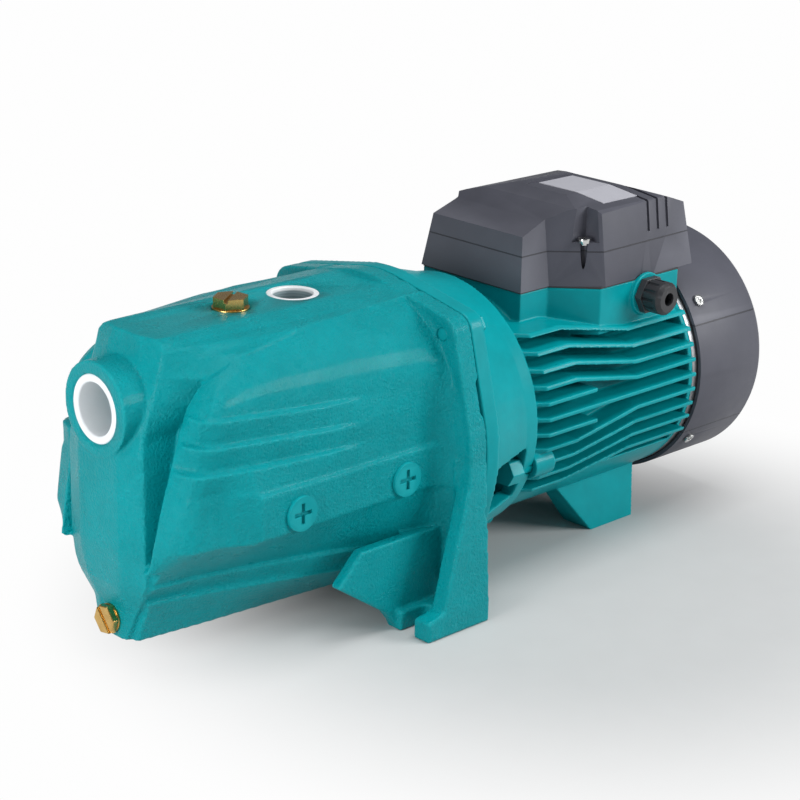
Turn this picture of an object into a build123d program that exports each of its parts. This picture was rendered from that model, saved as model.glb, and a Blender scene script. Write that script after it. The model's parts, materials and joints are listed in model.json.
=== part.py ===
from build123d import *
import os
from math import cos, radians, sin, sqrt

# Shallow well jet pump, in millimetres. X runs along the shaft from the suction port to the fan,
# Y = 0 is the plane of symmetry, Z = 0 is the plane of the feet and X = 0 is the middle of the length.

# Overall sizes
casing_length = 222.0          # suction face to the joint face
bracket_length = 62.0          # joint face to the motor housing
housing_length = 162.0
cowl_gap = 5.0                 # motor housing to the fan cover's rim
cowl_length = 70.0
axis_height = 106.0            # shaft above the floor
deck_height = 204.0            # flat top of the casing, which is the discharge face
foot_half_width = 108.0

# Clearances
thread_clearance = 0.05        # radial, screwed or pressed pieces that stay together
running_clearance = 0.06       # radial, balls in their races
bolt_clearance = 0.3           # radial, bolt shanks in their holes
loose_clearance = 0.4          # between pieces that turn past each other
cut_over = 1.0                 # how far a cut runs past the face that it opens

# Stations along X
x_front = -(casing_length + bracket_length + housing_length + cowl_gap + cowl_length) / 2
x_joint = x_front + casing_length
x_housing = x_joint + bracket_length
x_shield = x_housing + housing_length
motor_datum = 284.0            # the motor's own sizes along X count from this far ahead of its housing
x_motor = x_housing - motor_datum
x_cowl = x_shield + cowl_gap
x_end = x_cowl + cowl_length


# ---- shapes used all over -------------------------------------------------------------------
def disc(radius, x0, x1, y=0.0, z=axis_height):
    """A cylinder along X."""
    return Pos((x0 + x1) / 2, y, z) * Rot(0, 90, 0) * Cylinder(radius, x1 - x0)


def ring(outer, inner, x0, x1, y=0.0, z=axis_height):
    return disc(outer, x0, x1, y, z) - disc(inner, x0 - 1, x1 + 1, y, z)


def post(radius, x, y, z0, z1):
    """A cylinder along Z."""
    return Pos(x, y, (z0 + z1) / 2) * Cylinder(radius, z1 - z0)


def bar(radius, x, z, y0, y1):
    """A cylinder along Y."""
    return Pos(x, (y0 + y1) / 2, z) * Rot(90, 0, 0) * Cylinder(radius, y1 - y0)


def block(x0, x1, y0, y1, z0, z1):
    return Pos((x0 + x1) / 2, (y0 + y1) / 2, (z0 + z1) / 2) * Box(x1 - x0, y1 - y0, z1 - z0)


def side_shape(points, y0, y1):
    """An outline of (x, z) points, extruded across from y0 to y1."""
    face = Plane.XZ * make_face(Polyline(*points, close=True))
    return Pos(0, y0, 0) * extrude(face, y1 - y0, dir=(0, 1, 0))


def front_shape(points, x0, x1):
    """An outline of (y, z) points, extruded along the shaft from x0 to x1."""
    face = Plane.YZ * make_face(Polyline(*points, close=True))
    return Pos(x0, 0, 0) * extrude(face, x1 - x0, dir=(1, 0, 0))


def plan_shape(points, z0, z1):
    """An outline of (x, y) points, extruded upwards from z0 to z1."""
    face = make_face(Polyline(*points, close=True))
    return Pos(0, 0, z0) * extrude(face, z1 - z0, dir=(0, 0, 1))


def turned(points):
    """An outline of (x, radius) points, turned round the shaft's axis."""
    return Pos(0, 0, axis_height) * revolve(make_face(Polyline(*points, close=True)), Axis.X)


def both_plan(half):
    """Adds the other side to an outline whose points are (x, y) with y above 0."""
    return half + [(x, -y) for x, y in reversed(half)]


def mirrored(shape):
    return shape + mirror(shape, Plane.XZ)


def around(radius, angle):
    """The (y, z) place at an angle round the shaft: 0 is +Y and 90 is up."""
    return radius * cos(radians(angle)), axis_height + radius * sin(radians(angle))


def at_angle(shape, angle):
    """A shape drawn on the +Y side of the shaft's axis, turned round that axis."""
    return Pos(0, 0, axis_height) * Rot(angle, 0, 0) * Pos(0, 0, -axis_height) * shape


def added(shapes):
    """All the shapes in one, joined one after another."""
    total = None
    for shape in shapes:
        total = shape if total is None else total + shape
    return total


def hexagon(across_flats, x0, x1, y=0.0, z=axis_height):
    """A hexagonal bar along X."""
    face = RegularPolygon(across_flats / sqrt(3), 6)
    return Pos(x0, y, z) * extrude(Plane.YZ * face, x1 - x0, dir=(1, 0, 0))


nodes = {}


# ---- pump casing ----------------------------------------------------------------------------
wall = 6.0
flange_thickness = 14.0
flange_radius = 101.0
bolt_circle = 105.0
bolt_angles = (47.0, 133.0, 227.0, 313.0)
lug_radius = 12.0
bolt_radius = 4.0              # M8
suction_height = 162.0
suction_boss_radius = 28.6
suction_thread = 20.95         # G1 1/4
suction_depth = 26.0
discharge_setback = 72.0       # discharge centre ahead of the joint face
discharge_thread = 16.6        # G1
discharge_depth = 22.0
discharge_boss_radius = 23.0
filler_setback = 121.0
filler_thread = 8.3            # G3/8
filler_seat_radius = 12.5
filler_seat_depth = 1.0
filler_depth = 16.0
drain_height = 29.0
drain_thread = 6.6             # G1/4
drain_seat = 9.0               # drain plug's seat behind the suction face
drain_depth = 24.0
keel_height = 18.0
belt_low, belt_high = 89.0, 115.0
belt_half_width = 79.0
belt_ledge = 2.0               # the belt stands this far proud of the tank
deck_step = 2.5                # the tank's crown lies this far under the deck
nose_end = 52.0                # the nose runs this far back into the tank
valley_depth = 8.0             # front of the tank behind the valley's line, beside the nose
rib_step = 2.0                 # ribs: how far their upper edges stand out, their height and lean
rib_height, rib_lean = 12.0, 2.5
rib_tops = (166.0, 150.0, 134.0)             # at the tank's front corner
rib_slopes = (4.1, 3.2, 2.1)   # degrees down to the rear
rib_fade = (112.0, 146.0)      # behind the suction face, where the ribs fade out
fillet_start, fillet_radius = 22.0, 82.0     # cone between the tank and the flange
spigot_radius = 82.0
spigot_depth = 6.0
chamber_half_width = 25.0
chamber_wall = 5.0
chamber_front, chamber_back = 34.0, 70.0
passage_radius = 18.0
nozzle_thread = 9.0
venturi_seat = 12.0
side_plug_setbacks = (133.0, 48.0)
side_plug_height = 99.0
side_plug_thread = 8.5
side_plug_spotface = 13.0
side_plug_sink = 2.5
side_boss_radius = 16.0
slot_half_width = 5.5
slot_length = 22.0
slot_centre = 89.0
foot_front = 53.5              # length of the foot ahead of the joint face
foot_thickness = 13.0
foot_inner = 70.0
relief_width, relief_depth, relief_length = 4.0, 18.0, 22.0
hollow_front = 45.0            # start of the tank's water space, clear of the valleys
relief_angles = (22.5, 72.5, 107.5, 157.5, 202.5, 337.5)

x_chamber_front = x_front + chamber_front
x_chamber_back = x_front + chamber_back
x_discharge = x_joint - discharge_setback
x_filler = x_joint - filler_setback
x_drain_seat = x_front + drain_seat


def between(at, *stops):
    """A size that changes evenly between stops of (place, size) and stays the same past them."""
    (place, size), *rest = stops
    if at <= place:
        return size
    for next_place, next_size in rest:
        if at <= next_place:
            return size + (next_size - size) * (at - place) / (next_place - place)
        place, size = next_place, next_size
    return size


def tank_half(s, z):
    """Half the tank's width at s behind the suction face and z above the floor."""
    shoulder_z = between(s, (26, 166), (61, 163), (98, 160), (138, 158))
    shoulder = between(s, (26, 64.5), (61, 66), (98, 68.5), (138, 72), (208, 76))
    crown = between(s, (26, 176), (30, 181), (36, 188), (44, 197), (60, 205), (74, 208), (140, 212),
                    (208, 210))
    if z >= crown:
        return 0.0
    if z > shoulder_z:
        return shoulder * sqrt(1 - ((z - shoulder_z) / (crown - shoulder_z)) ** 2)
    full = belt_half_width
    belt = between(s, (9, 51), (16, 56), (27, 61.3), (41, 68), (57.5, full - belt_ledge), (62, full))
    ledge = between(s, (57, 0), (62, belt_ledge))
    return between(
        z,
        (keel_height, between(s, (9, 13), (15, 19), (60, 24), (110, 28), (155, 32), (208, 40))),
        (between(s, (9, 47), (41, 45), (114, 43)),
         between(s, (9, 27), (41, 30), (65, 35), (114, 49), (208, 64))),
        (between(s, (9, 60), (133, 56)),
         between(s, (9, 36), (42, 38), (74, 43.5), (107, 50), (133, 56), (208, 74))),
        (belt_low - belt_ledge, belt - ledge),
        (belt_low, belt),
        (belt_high, belt),
        (belt_high + belt_ledge, belt - ledge),
        (rib_tops[2], between(s, (9, 60), (26, 64), (58, 69.5), (93, 73), (149, 76))),
        (rib_tops[1], between(s, (26, 64.5), (60, 67.5), (100, 71.5), (144, 75.5))),
        (shoulder_z, shoulder),
    )


def stacked(outline, heights):
    """A solid whose plan changes evenly between heights. An outline lists (s, half width)."""
    slabs = []
    for low, high in zip(heights, heights[1:]):
        faces = []
        for z in (low, high):
            half = [(x_front + s, y) for s, y in outline(z)]
            faces.append(Pos(0, 0, z) * make_face(Polyline(*both_plan(half), close=True)))
        slabs.append(loft(faces, ruled=True))
    return added(slabs)


def nose_front(z):
    return between(z, (18, 9), (38, 9), (54, 4), (78, 1), (140, 1), (152, 5), (165, 11), (175, 15),
                   (190, 20), (204, 24))


def valley_line(z):
    return between(z, (72, 9), (114, 16), (134, 20), (150, 25), (168, 31), (184, 44))


def nose(inset):
    """The shield-shaped front like a prow, which carries the suction port and the drain plug."""

    def outline(z):
        front = nose_front(z) + inset
        half = between(z, (18, 13), (36, 20), (50, 31), (60, 36), (68, 38), (140, 36), (165, 31),
                       (204, 31)) - inset
        flat = between(z, (18, 8), (60, 18), (140, 18), (204, 14)) - inset / 2
        return [(front, flat), (front + between(z, (60, 6), (140, 6), (204, 4)), half), (nose_end, half + 6)]

    return stacked(outline, [keel_height + inset, 38, 50, 60, 68, 78, 140, 152, 165, 175, 190,
                             deck_height - inset])


def hood():
    """The raised band over the top, whose lower edge drops towards the nose."""

    def outline(z):
        end = between(z, (150, 24), (168, 30), (177, 37), (184, 44), (190, 60), (193.5, 74), (199, 117),
                      (200, 140),
                      (201, 206))
        half = between(z, (150, 36), (160, 41), (168, 43.5), (184, 48), (193.5, 51), (199, 47), (201, 42),
                       (204, 30))
        front = nose_front(z)
        side = between(z, (150, 35), (165, 31), (200, 31), (204, 28))
        return [(front + 2, side - 8), (front + 5, side), (end, half), (end + 1, half - deck_step)]

    return stacked(outline, [150, 160, 168, 177, 184, 190, 193.5, 199, 201, deck_height])


def belly():
    """The tank behind the nose, with the belt along its sides and the keel under it."""

    def outline(z):
        if z < 172:
            corner = between(z, (18, 10), (60, 10), (87, 17), (100, 21), (114, 26.5), (166, 26.5), (172, 30))
            start = min(valley_line(z) + valley_depth, corner + 10)
            inner = min(38.0, tank_half(corner, z) - 2)
        else:
            corner = between(z, (172, 30), (182, 38), (190, 48), (197, 62), (201.5, 80))
            start = corner + 2
            inner = tank_half(corner, z) * 0.6
        points = [(start, inner - 2), (start, inner)] if z < 172 else [(start, inner - 2),
            (start - 1, inner)]
        points.append((corner, tank_half(corner, z)))
        for share in (0.1, 0.2, 0.32, 0.5, 0.7, 0.93, 1.0):
            s = corner + (casing_length - 1 - corner) * share
            points.append((s, tank_half(s, z)))
        return points

    heights = [keel_height, 44, 58, 73, belt_low - belt_ledge, belt_low, belt_high, belt_high + belt_ledge,
               rib_tops[2], rib_tops[1], 162, 172, 182, 190, 197, deck_height - deck_step]
    return stacked(outline, heights)


def tank_hollow():
    """The tank's water space, one wall inside its skin."""

    def outline(z):
        return [(s, max(tank_half(s, z) - wall, 3.0))
                for s in (hollow_front, 58, 75, 107, 140, 175, casing_length)]

    top = between(hollow_front, (44, 197), (60, 205)) - 2 * wall
    return stacked(outline, [keel_height + wall, 45, 60, 75, 89, 115, 134, 150, 165, 175, top])


def ribs():
    """Three ribs along each side of the belly, which slope down to the rear and fade out there."""
    steps = []
    for top, slope in zip(rib_tops, rib_slopes):
        skin = []
        for s in (26.5, 41.0, 60.0, 86.0, rib_fade[0], rib_fade[1]):
            step = rib_step if s < rib_fade[1] else -rib_step
            skin.append((s - 26.5, tank_half(s, top - (s - 26.5) * sin(radians(slope))) + step))
        skin.insert(0, (-6, skin[0][1] - 16))
        upper = Polyline(*both_plan(skin), close=True)
        lower = Polyline(*both_plan([(x, y - rib_lean) for x, y in skin]), close=True)
        rib = loft([make_face(upper), Pos(0, 0, -rib_height) * make_face(lower)], ruled=True)
        steps.append(Pos(x_front + 26.5, 0, top) * Rot(0, slope, 0) * rib)
    return added(steps)


def suction_chamber(inset):
    """The cast box that joins the suction port to the ejector."""
    return block(x_chamber_front + inset, x_chamber_back - inset,
                 -chamber_half_width + inset, chamber_half_width - inset,
                 axis_height - chamber_half_width + inset, deck_height - wall + 1 - inset)


def flange_plate(x0, x1):
    """The outline of the joint: a circle drawn together with the four bolt lugs by tangents."""
    edges = [Circle(flange_radius).edge()]
    for angle in bolt_angles:
        y, z = around(bolt_circle, angle)
        edges.append((Pos(y, z - axis_height) * Circle(lug_radius)).edge())
    return Pos(x0, 0, axis_height) * extrude(Plane.YZ * make_hull(edges), x1 - x0, dir=(1, 0, 0))


def foot():
    """One foot of the casing with its outer wall, its web and an open slot for the foundation bolt."""
    low = x_joint - foot_front
    plate = block(low, x_joint, foot_inner, foot_half_width, 0, foot_thickness)
    outer = front_shape([(foot_half_width, 0), (foot_half_width, foot_thickness), (103.5, 75),
                         (101, axis_height),
                         (90, axis_height), (96, foot_thickness), (96, 0)], low, x_joint)
    outer &= side_shape([(low, 0), (low, foot_thickness), (low + 14, 17), (low + 30, 67), (low + 38, 92),
                         (x_joint - flange_thickness, axis_height), (x_joint, axis_height), (x_joint, 0)],
                         0, 200)
    web = side_shape([(low - 49, 41), (low - 8, 13), (low + 1, 1), (low + 1, 0), (x_joint, 0), (x_joint, 70),
                      (low - 30, 60)], foot_inner + 1, foot_inner + 9)
    bolt_end = low + slot_length - slot_half_width
    slot = block(low - 20, bolt_end, slot_centre - slot_half_width, slot_centre + slot_half_width, -1, 40)
    slot += post(slot_half_width, bolt_end, slot_centre, -1, 40)
    return plate + outer + web - slot


def casing_hollow():
    """The water space: the tank without the bosses and the box that stand in it."""
    tank = tank_hollow() + nose(wall) + disc(spigot_radius - wall, x_joint - 20, x_joint + cut_over)
    solid = [
        suction_chamber(0),
        disc(passage_radius + chamber_wall, x_front, x_chamber_front + 1, z=suction_height),
        post(discharge_boss_radius, x_discharge, 0, deck_height - discharge_depth - 4, 300),
        post(filler_thread + chamber_wall, x_filler, 0, deck_height - filler_depth, 300),
        disc(drain_thread + chamber_wall, x_front, x_front + drain_depth, z=drain_height),
    ]
    for setback in side_plug_setbacks:
        solid.append(mirrored(bar(side_boss_radius, x_joint - setback, side_plug_height, 66, 100)))
    return tank - solid


def pump_casing():
    cone = turned([(x_joint - fillet_start, fillet_radius - 10), (x_joint - fillet_start, fillet_radius),
                   (x_joint - flange_thickness, flange_radius - 6),
                   (x_joint - flange_thickness, fillet_radius - 10)])
    cone &= block(x_front, x_joint, -foot_half_width, foot_half_width, keel_height, deck_height)
    body = added([belly(), nose(0), hood(), ribs(), cone])
    body = added([
        body,
        disc(suction_boss_radius, x_front, x_chamber_front, z=suction_height),
        flange_plate(x_joint - flange_thickness, x_joint),
        mirrored(foot()),
    ])
    bores = [
        suction_chamber(chamber_wall),
        disc(spigot_radius, x_joint - spigot_depth, x_joint + cut_over),
        disc(suction_thread, x_front - cut_over, x_front + suction_depth, z=suction_height),
        disc(passage_radius, x_front, x_chamber_front + chamber_wall + 1, z=suction_height),
        disc(nozzle_thread, x_chamber_front - 14, x_chamber_front + chamber_wall + 1),
        disc(venturi_seat, x_chamber_back - chamber_wall - 1, x_chamber_back + 1),
        post(discharge_thread, x_discharge, 0, deck_height - discharge_depth, 300),
        post(discharge_thread - 3, x_discharge, 0, deck_height - 40, 300),
        post(filler_thread, x_filler, 0, deck_height - 40, 300),
        post(filler_seat_radius, x_filler, 0, deck_height - filler_seat_depth, 300),
        disc(drain_thread, x_front - cut_over, x_front + drain_depth + 4, z=drain_height),
    ]
    for setback in side_plug_setbacks:
        x = x_joint - setback
        bores.append(mirrored(bar(side_plug_spotface, x, side_plug_height, belt_half_width - side_plug_sink,
                                  100)))
        bores.append(mirrored(bar(side_plug_thread, x, side_plug_height, 60, 100)))
    for angle in bolt_angles:
        y, z = around(bolt_circle, angle)
        bores.append(disc(bolt_radius + thread_clearance, x_joint - 40, x_joint + cut_over, y, z))
    # relief slots in the joint between the bolts, which show as dark lines
    for angle in relief_angles:
        y, z = around(flange_radius, angle)
        bores.append(Pos(x_joint, y, z) * Rot(angle, 0, 0) * Box(relief_width, relief_depth, relief_length))
    return body - (bores + [casing_hollow()])


nodes["pump_casing"] = pump_casing()


# ---- port inserts, plugs and the ejector ----------------------------------------------------
suction_insert_bore = 15.885   # G1 mate
discharge_insert_bore = 12.64  # G3/4 mate
plug_washer = 1.5
filler_hex, filler_head = 19.0, 6.5
drain_hex, drain_head = 17.0, 4.5
plug_slot_width, plug_slot_depth = 2.4, 2.0
plug_length = 14.0
side_plug_head, side_plug_head_height = 11.0, 4.5
cross_arm, cross_width, cross_depth = 6.5, 2.6, 2.0
nozzle_bore, nozzle_tip = 4.0, 6.0
throat_radius = 5.0
tube_radius = 14.0
o_ring = 2.0


def brass_plug(hex_size, head, thread, washer_radius):
    """A screwed plug standing up along Z with its seat at the origin, and its washer."""
    z_head = plug_washer
    shape = Pos(0, 0, z_head) * extrude(RegularPolygon(hex_size / sqrt(3), 6), head)
    shape -= Pos(0, 0, z_head + head) * Box(3 * hex_size, plug_slot_width, 2 * plug_slot_depth)
    shape += Pos(0, 0, (z_head - plug_length) / 2) * Cylinder(thread - thread_clearance,
        z_head + plug_length)
    washer = Pos(0, 0, plug_washer / 2) * (Cylinder(washer_radius, plug_washer)
                                           - Cylinder(thread + thread_clearance, 2 * plug_washer))
    return shape, washer


def side_plug(x, side):
    """A round painted plug with a cross recess, screwed into the belt."""
    seat = belt_half_width - side_plug_sink
    plug = bar(side_plug_head, x, side_plug_height, seat, seat + side_plug_head_height)
    plug += bar(side_plug_thread - thread_clearance, x, side_plug_height, seat - 12, seat)
    top = seat + side_plug_head_height - cross_depth
    plug -= block(x - cross_arm, x + cross_arm, top, 100, side_plug_height - cross_width / 2,
                  side_plug_height + cross_width / 2)
    plug -= block(x - cross_width / 2, x + cross_width / 2, top, 100, side_plug_height - cross_arm,
                  side_plug_height + cross_arm)
    return plug if side > 0 else mirror(plug, Plane.XZ)


nodes["suction_insert"] = ring(suction_thread - thread_clearance, suction_insert_bore, x_front,
                               x_front + suction_depth, z=suction_height)
nodes["discharge_insert"] = (
    post(discharge_thread - thread_clearance, x_discharge, 0, deck_height - discharge_depth, deck_height)
    - post(discharge_insert_bore, x_discharge, 0, 0, 300)
)
filler, filler_washer = brass_plug(filler_hex, filler_head, filler_thread, 11.5)
drain, drain_washer = brass_plug(drain_hex, drain_head, drain_thread, 9.0)
at_filler = Pos(x_filler, 0, deck_height - filler_seat_depth) * Rot(0, 0, 35)
at_drain = Pos(x_drain_seat, 0, drain_height) * Rot(0, -90, 0) * Rot(0, 0, 40)
nodes["filler_plug"] = at_filler * filler
nodes["filler_washer"] = at_filler * filler_washer
nodes["drain_plug"] = at_drain * drain
nodes["drain_washer"] = at_drain * drain_washer
nodes["side_plugs"] = Compound(children=[side_plug(x_joint - setback, side)
                                         for setback in side_plug_setbacks for side in (-1, 1)])

x_nozzle = x_chamber_front
nozzle = turned([(x_nozzle - 6, nozzle_bore + 2), (x_nozzle - 6, nozzle_thread + 3),
                 (x_nozzle, nozzle_thread + 3),
                 (x_nozzle, nozzle_thread - thread_clearance),
                 (x_nozzle + chamber_wall, nozzle_thread - thread_clearance),
                 (x_nozzle + 18, nozzle_tip), (x_nozzle + 18, nozzle_bore)])
nozzle -= disc(nozzle_bore, x_nozzle - 7, x_nozzle + 19)
nodes["ejector_nozzle"] = nozzle

vane_disc = (44.0, 38.0)       # guide vane disc, ahead of the joint face
guide_hub_front = 60.0
x_tube = x_chamber_back - 10
x_tube_end = x_joint - guide_hub_front + 12
x_seat = x_chamber_back - chamber_wall
tube = turned([(x_tube, throat_radius + 3), (x_tube, venturi_seat - 1.5),
               (x_seat, venturi_seat - thread_clearance),
               (x_chamber_back, venturi_seat - thread_clearance), (x_chamber_back, tube_radius),
               (x_chamber_back + 6, tube_radius), (x_chamber_back + 12, 10), (x_tube_end - 20, tube_radius),
               (x_tube_end, tube_radius), (x_tube_end, tube_radius - 2), (x_tube + 14, throat_radius),
               (x_tube + 8, throat_radius)])
groove_x = x_tube_end - 6
nodes["venturi_tube"] = tube - ring(tube_radius + 1, tube_radius - o_ring / 2, groove_x - o_ring / 2,
                                    groove_x + o_ring / 2)
nodes["venturi_seal"] = ring(tube_radius, tube_radius - o_ring / 2 + thread_clearance,
                             groove_x - o_ring / 2 + thread_clearance,
                             groove_x + o_ring / 2 - thread_clearance)


# ---- guide vane and impeller ----------------------------------------------------------------
guide_radius, guide_inner = 62.0, 54.0
guide_hub_radius = 22.0
guide_vanes = 12
impeller_radius = 52.0
impeller_front, impeller_back = 34.0, 20.0   # ahead of the joint face
shroud = 2.5
eye_radius, neck_radius = 15.0, 19.0
impeller_hub = 13.0
impeller_vanes = 6
key_width = 4.0
nut_across_flats, nut_height = 18.0, 7.0
shaft_impeller, shaft_seal, shaft_middle = 7.0, 8.0, 9.0


def guide_vane():
    x_disc, x_rim = x_joint - vane_disc[0], x_joint - vane_disc[1]
    plate = disc(guide_radius, x_disc, x_rim) + disc(guide_hub_radius, x_joint - guide_hub_front, x_rim)
    vane = Pos((x_rim + x_joint - spigot_depth) / 2, (guide_radius + guide_inner) / 2, axis_height)
    vane *= Rot(55, 0, 0) * Box(x_joint - spigot_depth - x_rim, guide_radius - guide_inner, 3)
    body = added([plate] + [at_angle(vane, 360 / guide_vanes * i) for i in range(guide_vanes)])
    body -= disc(tube_radius + thread_clearance, x_joint - guide_hub_front - cut_over,
                 x_tube_end + thread_clearance)
    return body - disc(neck_radius + loose_clearance, x_tube_end - 1, x_rim + cut_over)


def impeller():
    """A closed impeller: two shrouds with curved vanes between them, a hub and an eye ring."""
    x0, x1 = x_joint - impeller_front, x_joint - impeller_back
    body = added([disc(impeller_radius, x0, x0 + shroud), disc(impeller_radius, x1 - shroud, x1),
                  disc(impeller_hub, x0 + 2, x1), disc(neck_radius, x0 - 8, x0)])
    body -= ring(eye_radius, impeller_hub, x0 - 9, x0 + shroud + 1)
    body -= disc(impeller_hub, x0 - 9, x0 + 2)
    curve = 32.0
    y, z = around(26.0, 0)
    vane = ring(curve, curve - 2, x0 + 1, x1 - 1, y, z) & ring(impeller_radius - 1, eye_radius + 1, x0, x1)
    vane &= block(x0, x1, -100, 100, axis_height, 300)
    body = added([body] + [at_angle(vane, 360 / impeller_vanes * i) for i in range(impeller_vanes)])
    body -= disc(shaft_impeller + thread_clearance, x0 - 9, x1 + 1)
    return body - key_slot(x0 + 2, x1, thread_clearance)


def key_slot(x0, x1, clearance):
    """The key, or the slot for it, on top of the shaft under the impeller's hub."""
    half = key_width / 2 + clearance
    return block(x0, x1, -half, half, axis_height + shaft_impeller - 2.5 - clearance,
                 axis_height + shaft_impeller + 1.5 + clearance)


nodes["guide_vane"] = guide_vane()
nodes["impeller"] = impeller()
nodes["impeller_key"] = key_slot(x_joint - impeller_front + 4, x_joint - impeller_back, 0)
x_nut = x_joint - impeller_front + 2
nodes["impeller_nut"] = hexagon(nut_across_flats, x_nut - nut_height, x_nut) - disc(
    shaft_impeller - 1 + thread_clearance, x_nut - nut_height - 1, x_nut + 1)


# ---- motor bracket --------------------------------------------------------------------------
bracket_flange = 11.5
bracket_front_radius, bracket_rear_radius = 98.0, 86.5
bracket_wall = 8.0
wet_wall = 10.0                # back of the pump chamber, behind the joint face
seal_bore = 17.0
shaft_hole = 12.0
bearing_wall = 10.0
front_bearing = (20.0, 47.0, 14.0)   # bore, outside and width
rear_bearing = (17.0, 40.0, 12.0)
front_bearing_setback = 44.0
bearing_boss = 30.0
housing_bore = 62.0
register_depth = 4.0
register_inner = 54.0
bracket_bolt_circle = 82.0
bracket_bolt_angles = (198.0, 342.0, 252.0, 288.0)
bracket_bolt_radius = 5.0
bracket_bolt_hex, bracket_bolt_head = 16.0, 11.0
pocket_front, pocket_width, pocket_depth = 15.0, 38.0, 26.0
pocket_back = 51.0
head_hex, head_height = 13.0, 6.5

x_bearing = x_joint + front_bearing_setback
x_pocket_back = x_joint + pocket_back


def motor_bracket():
    j = x_joint
    shell = turned([(j - spigot_depth, 0), (j - spigot_depth, spigot_radius - thread_clearance),
                    (j, spigot_radius - thread_clearance), (j, bracket_front_radius),
                    (j + bracket_flange + 2, bracket_front_radius),
                    (x_housing - 12, bracket_rear_radius + 1.5),
                    (x_housing, bracket_rear_radius), (x_housing, housing_bore - thread_clearance),
                    (x_housing + register_depth, housing_bore - thread_clearance),
                    (x_housing + register_depth, 0)])
    shell += flange_plate(j, j + bracket_flange)
    dry = turned([(j + wet_wall, 0), (j + wet_wall, bracket_front_radius - bracket_wall),
                  (x_housing - bearing_wall, bracket_rear_radius - bracket_wall),
                  (x_housing - bearing_wall, bearing_boss), (x_bearing - 3, bearing_boss),
                  (x_bearing - 3, 0)])
    cuts = [
        dry,
        disc(seal_bore, j - spigot_depth - cut_over, j + spigot_depth),
        disc(shaft_hole, j, x_bearing),
        disc(front_bearing[1] / 2 + thread_clearance, x_bearing, x_housing + 10),
        ring(register_inner, bearing_boss, x_housing - 4, x_housing + 10),
        disc(bearing_boss + 1, x_bearing + front_bearing[2] + 2, x_housing + 10),
        ring(spigot_radius, spigot_radius - 1.5, j - 4, j - 2),
    ]
    for angle in bolt_angles:
        y, z = around(bolt_circle, angle)
        cuts.append(disc(bolt_radius + bolt_clearance, j - 1, j + bracket_flange + 1, y, z))
        cuts.append(disc(head_hex / sqrt(3) + 1.5, j + bracket_flange, j + 30, y, z))
    pocket = Pos(j + (pocket_front + pocket_back) / 2, bracket_bolt_circle + pocket_depth / 2 - 9,
                 axis_height)
    pocket *= Box(pocket_back - pocket_front, pocket_depth, pocket_width)
    for angle in bracket_bolt_angles:
        y, z = around(bracket_bolt_circle, angle)
        cuts.append(at_angle(pocket, angle))
        cuts.append(disc(bracket_bolt_radius + bolt_clearance, x_pocket_back - 1, x_housing + 1, y, z))
    return shell - cuts


def bolt(x_face, x_tip, radius, across_flats, height, y, z):
    """A hexagon bolt along X whose head rests on a face at x_face."""
    away = 1 if x_tip < x_face else -1
    x0, x1 = sorted((x_face, x_face + away * height))
    s0, s1 = sorted((x_face, x_tip))
    return hexagon(across_flats, x0, x1, y, z) + disc(radius, s0, s1, y, z)


nodes["motor_bracket"] = motor_bracket()
nodes["flange_bolts"] = Compound(children=[
    bolt(x_joint + bracket_flange, x_joint - flange_thickness + 1, bolt_radius, head_hex, head_height,
         *around(bolt_circle, angle)) for angle in bolt_angles])
nodes["bracket_bolts"] = Compound(children=[
    bolt(x_pocket_back, x_housing + 14, bracket_bolt_radius, bracket_bolt_hex, bracket_bolt_head,
         *around(bracket_bolt_circle, angle)) for angle in bracket_bolt_angles])
nodes["casing_seal"] = ring(spigot_radius - thread_clearance, spigot_radius - 1.45, x_joint - 3.9,
                            x_joint - 2.1)


# ---- shaft seal -----------------------------------------------------------------------------
seat_outer, seal_ring_outer = 13.0, 12.0
seal_ring_length = 6.5
spring_wire, spring_radius = 0.8, 10.5
slinger_radius = 18.0
x_cup = x_joint - 2.3
x_carbon = x_cup - seal_ring_length

nodes["seal_cup"] = ring(seal_bore - thread_clearance, seat_outer, x_cup, x_joint + spigot_depth)
nodes["seal_seat"] = ring(seat_outer - thread_clearance, shaft_middle + loose_clearance, x_cup,
                          x_joint + spigot_depth - 1)
nodes["seal_ring"] = ring(seal_ring_outer, shaft_seal + thread_clearance, x_carbon, x_cup - thread_clearance)
x_spring = x_joint - impeller_back + spring_wire
spring_length = x_carbon - x_spring - spring_wire
spring_path = Helix(spring_length / 3, spring_length, spring_radius)
spring = sweep((spring_path ^ 0) * Circle(spring_wire - thread_clearance), path=spring_path)
nodes["seal_spring"] = Pos(x_spring, 0, axis_height) * Rot(0, 90, 0) * spring
nodes["slinger"] = ring(slinger_radius, shaft_middle + thread_clearance, x_joint + 16,
                        x_joint + 18.5) + ring(
    slinger_radius - 6, shaft_middle + thread_clearance, x_joint + 18.5, x_joint + 24)


# ---- shaft, bearings and rotor --------------------------------------------------------------
core_front, core_back = 36.0, 116.0          # stator and rotor packs, behind the housing's front
core_bore, rotor_radius = 34.0, 33.6
shaft_core, shaft_shoulder = 14.0, 13.0
fan_shaft = 7.0
clip_width, clip_depth = 1.2, 1.0
fan_front, fan_length = 16.0, 22.0           # behind the housing's rear face
rear_bearing_sink = 10.0
ball_share = 0.30                            # ball radius as a share of the rings' height
balls = 8

x_rear_bearing = x_shield - rear_bearing_sink
x_fan = x_shield + fan_front
x_clip = x_fan + fan_length
x_core, x_core_end = x_housing + core_front, x_housing + core_back


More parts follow.
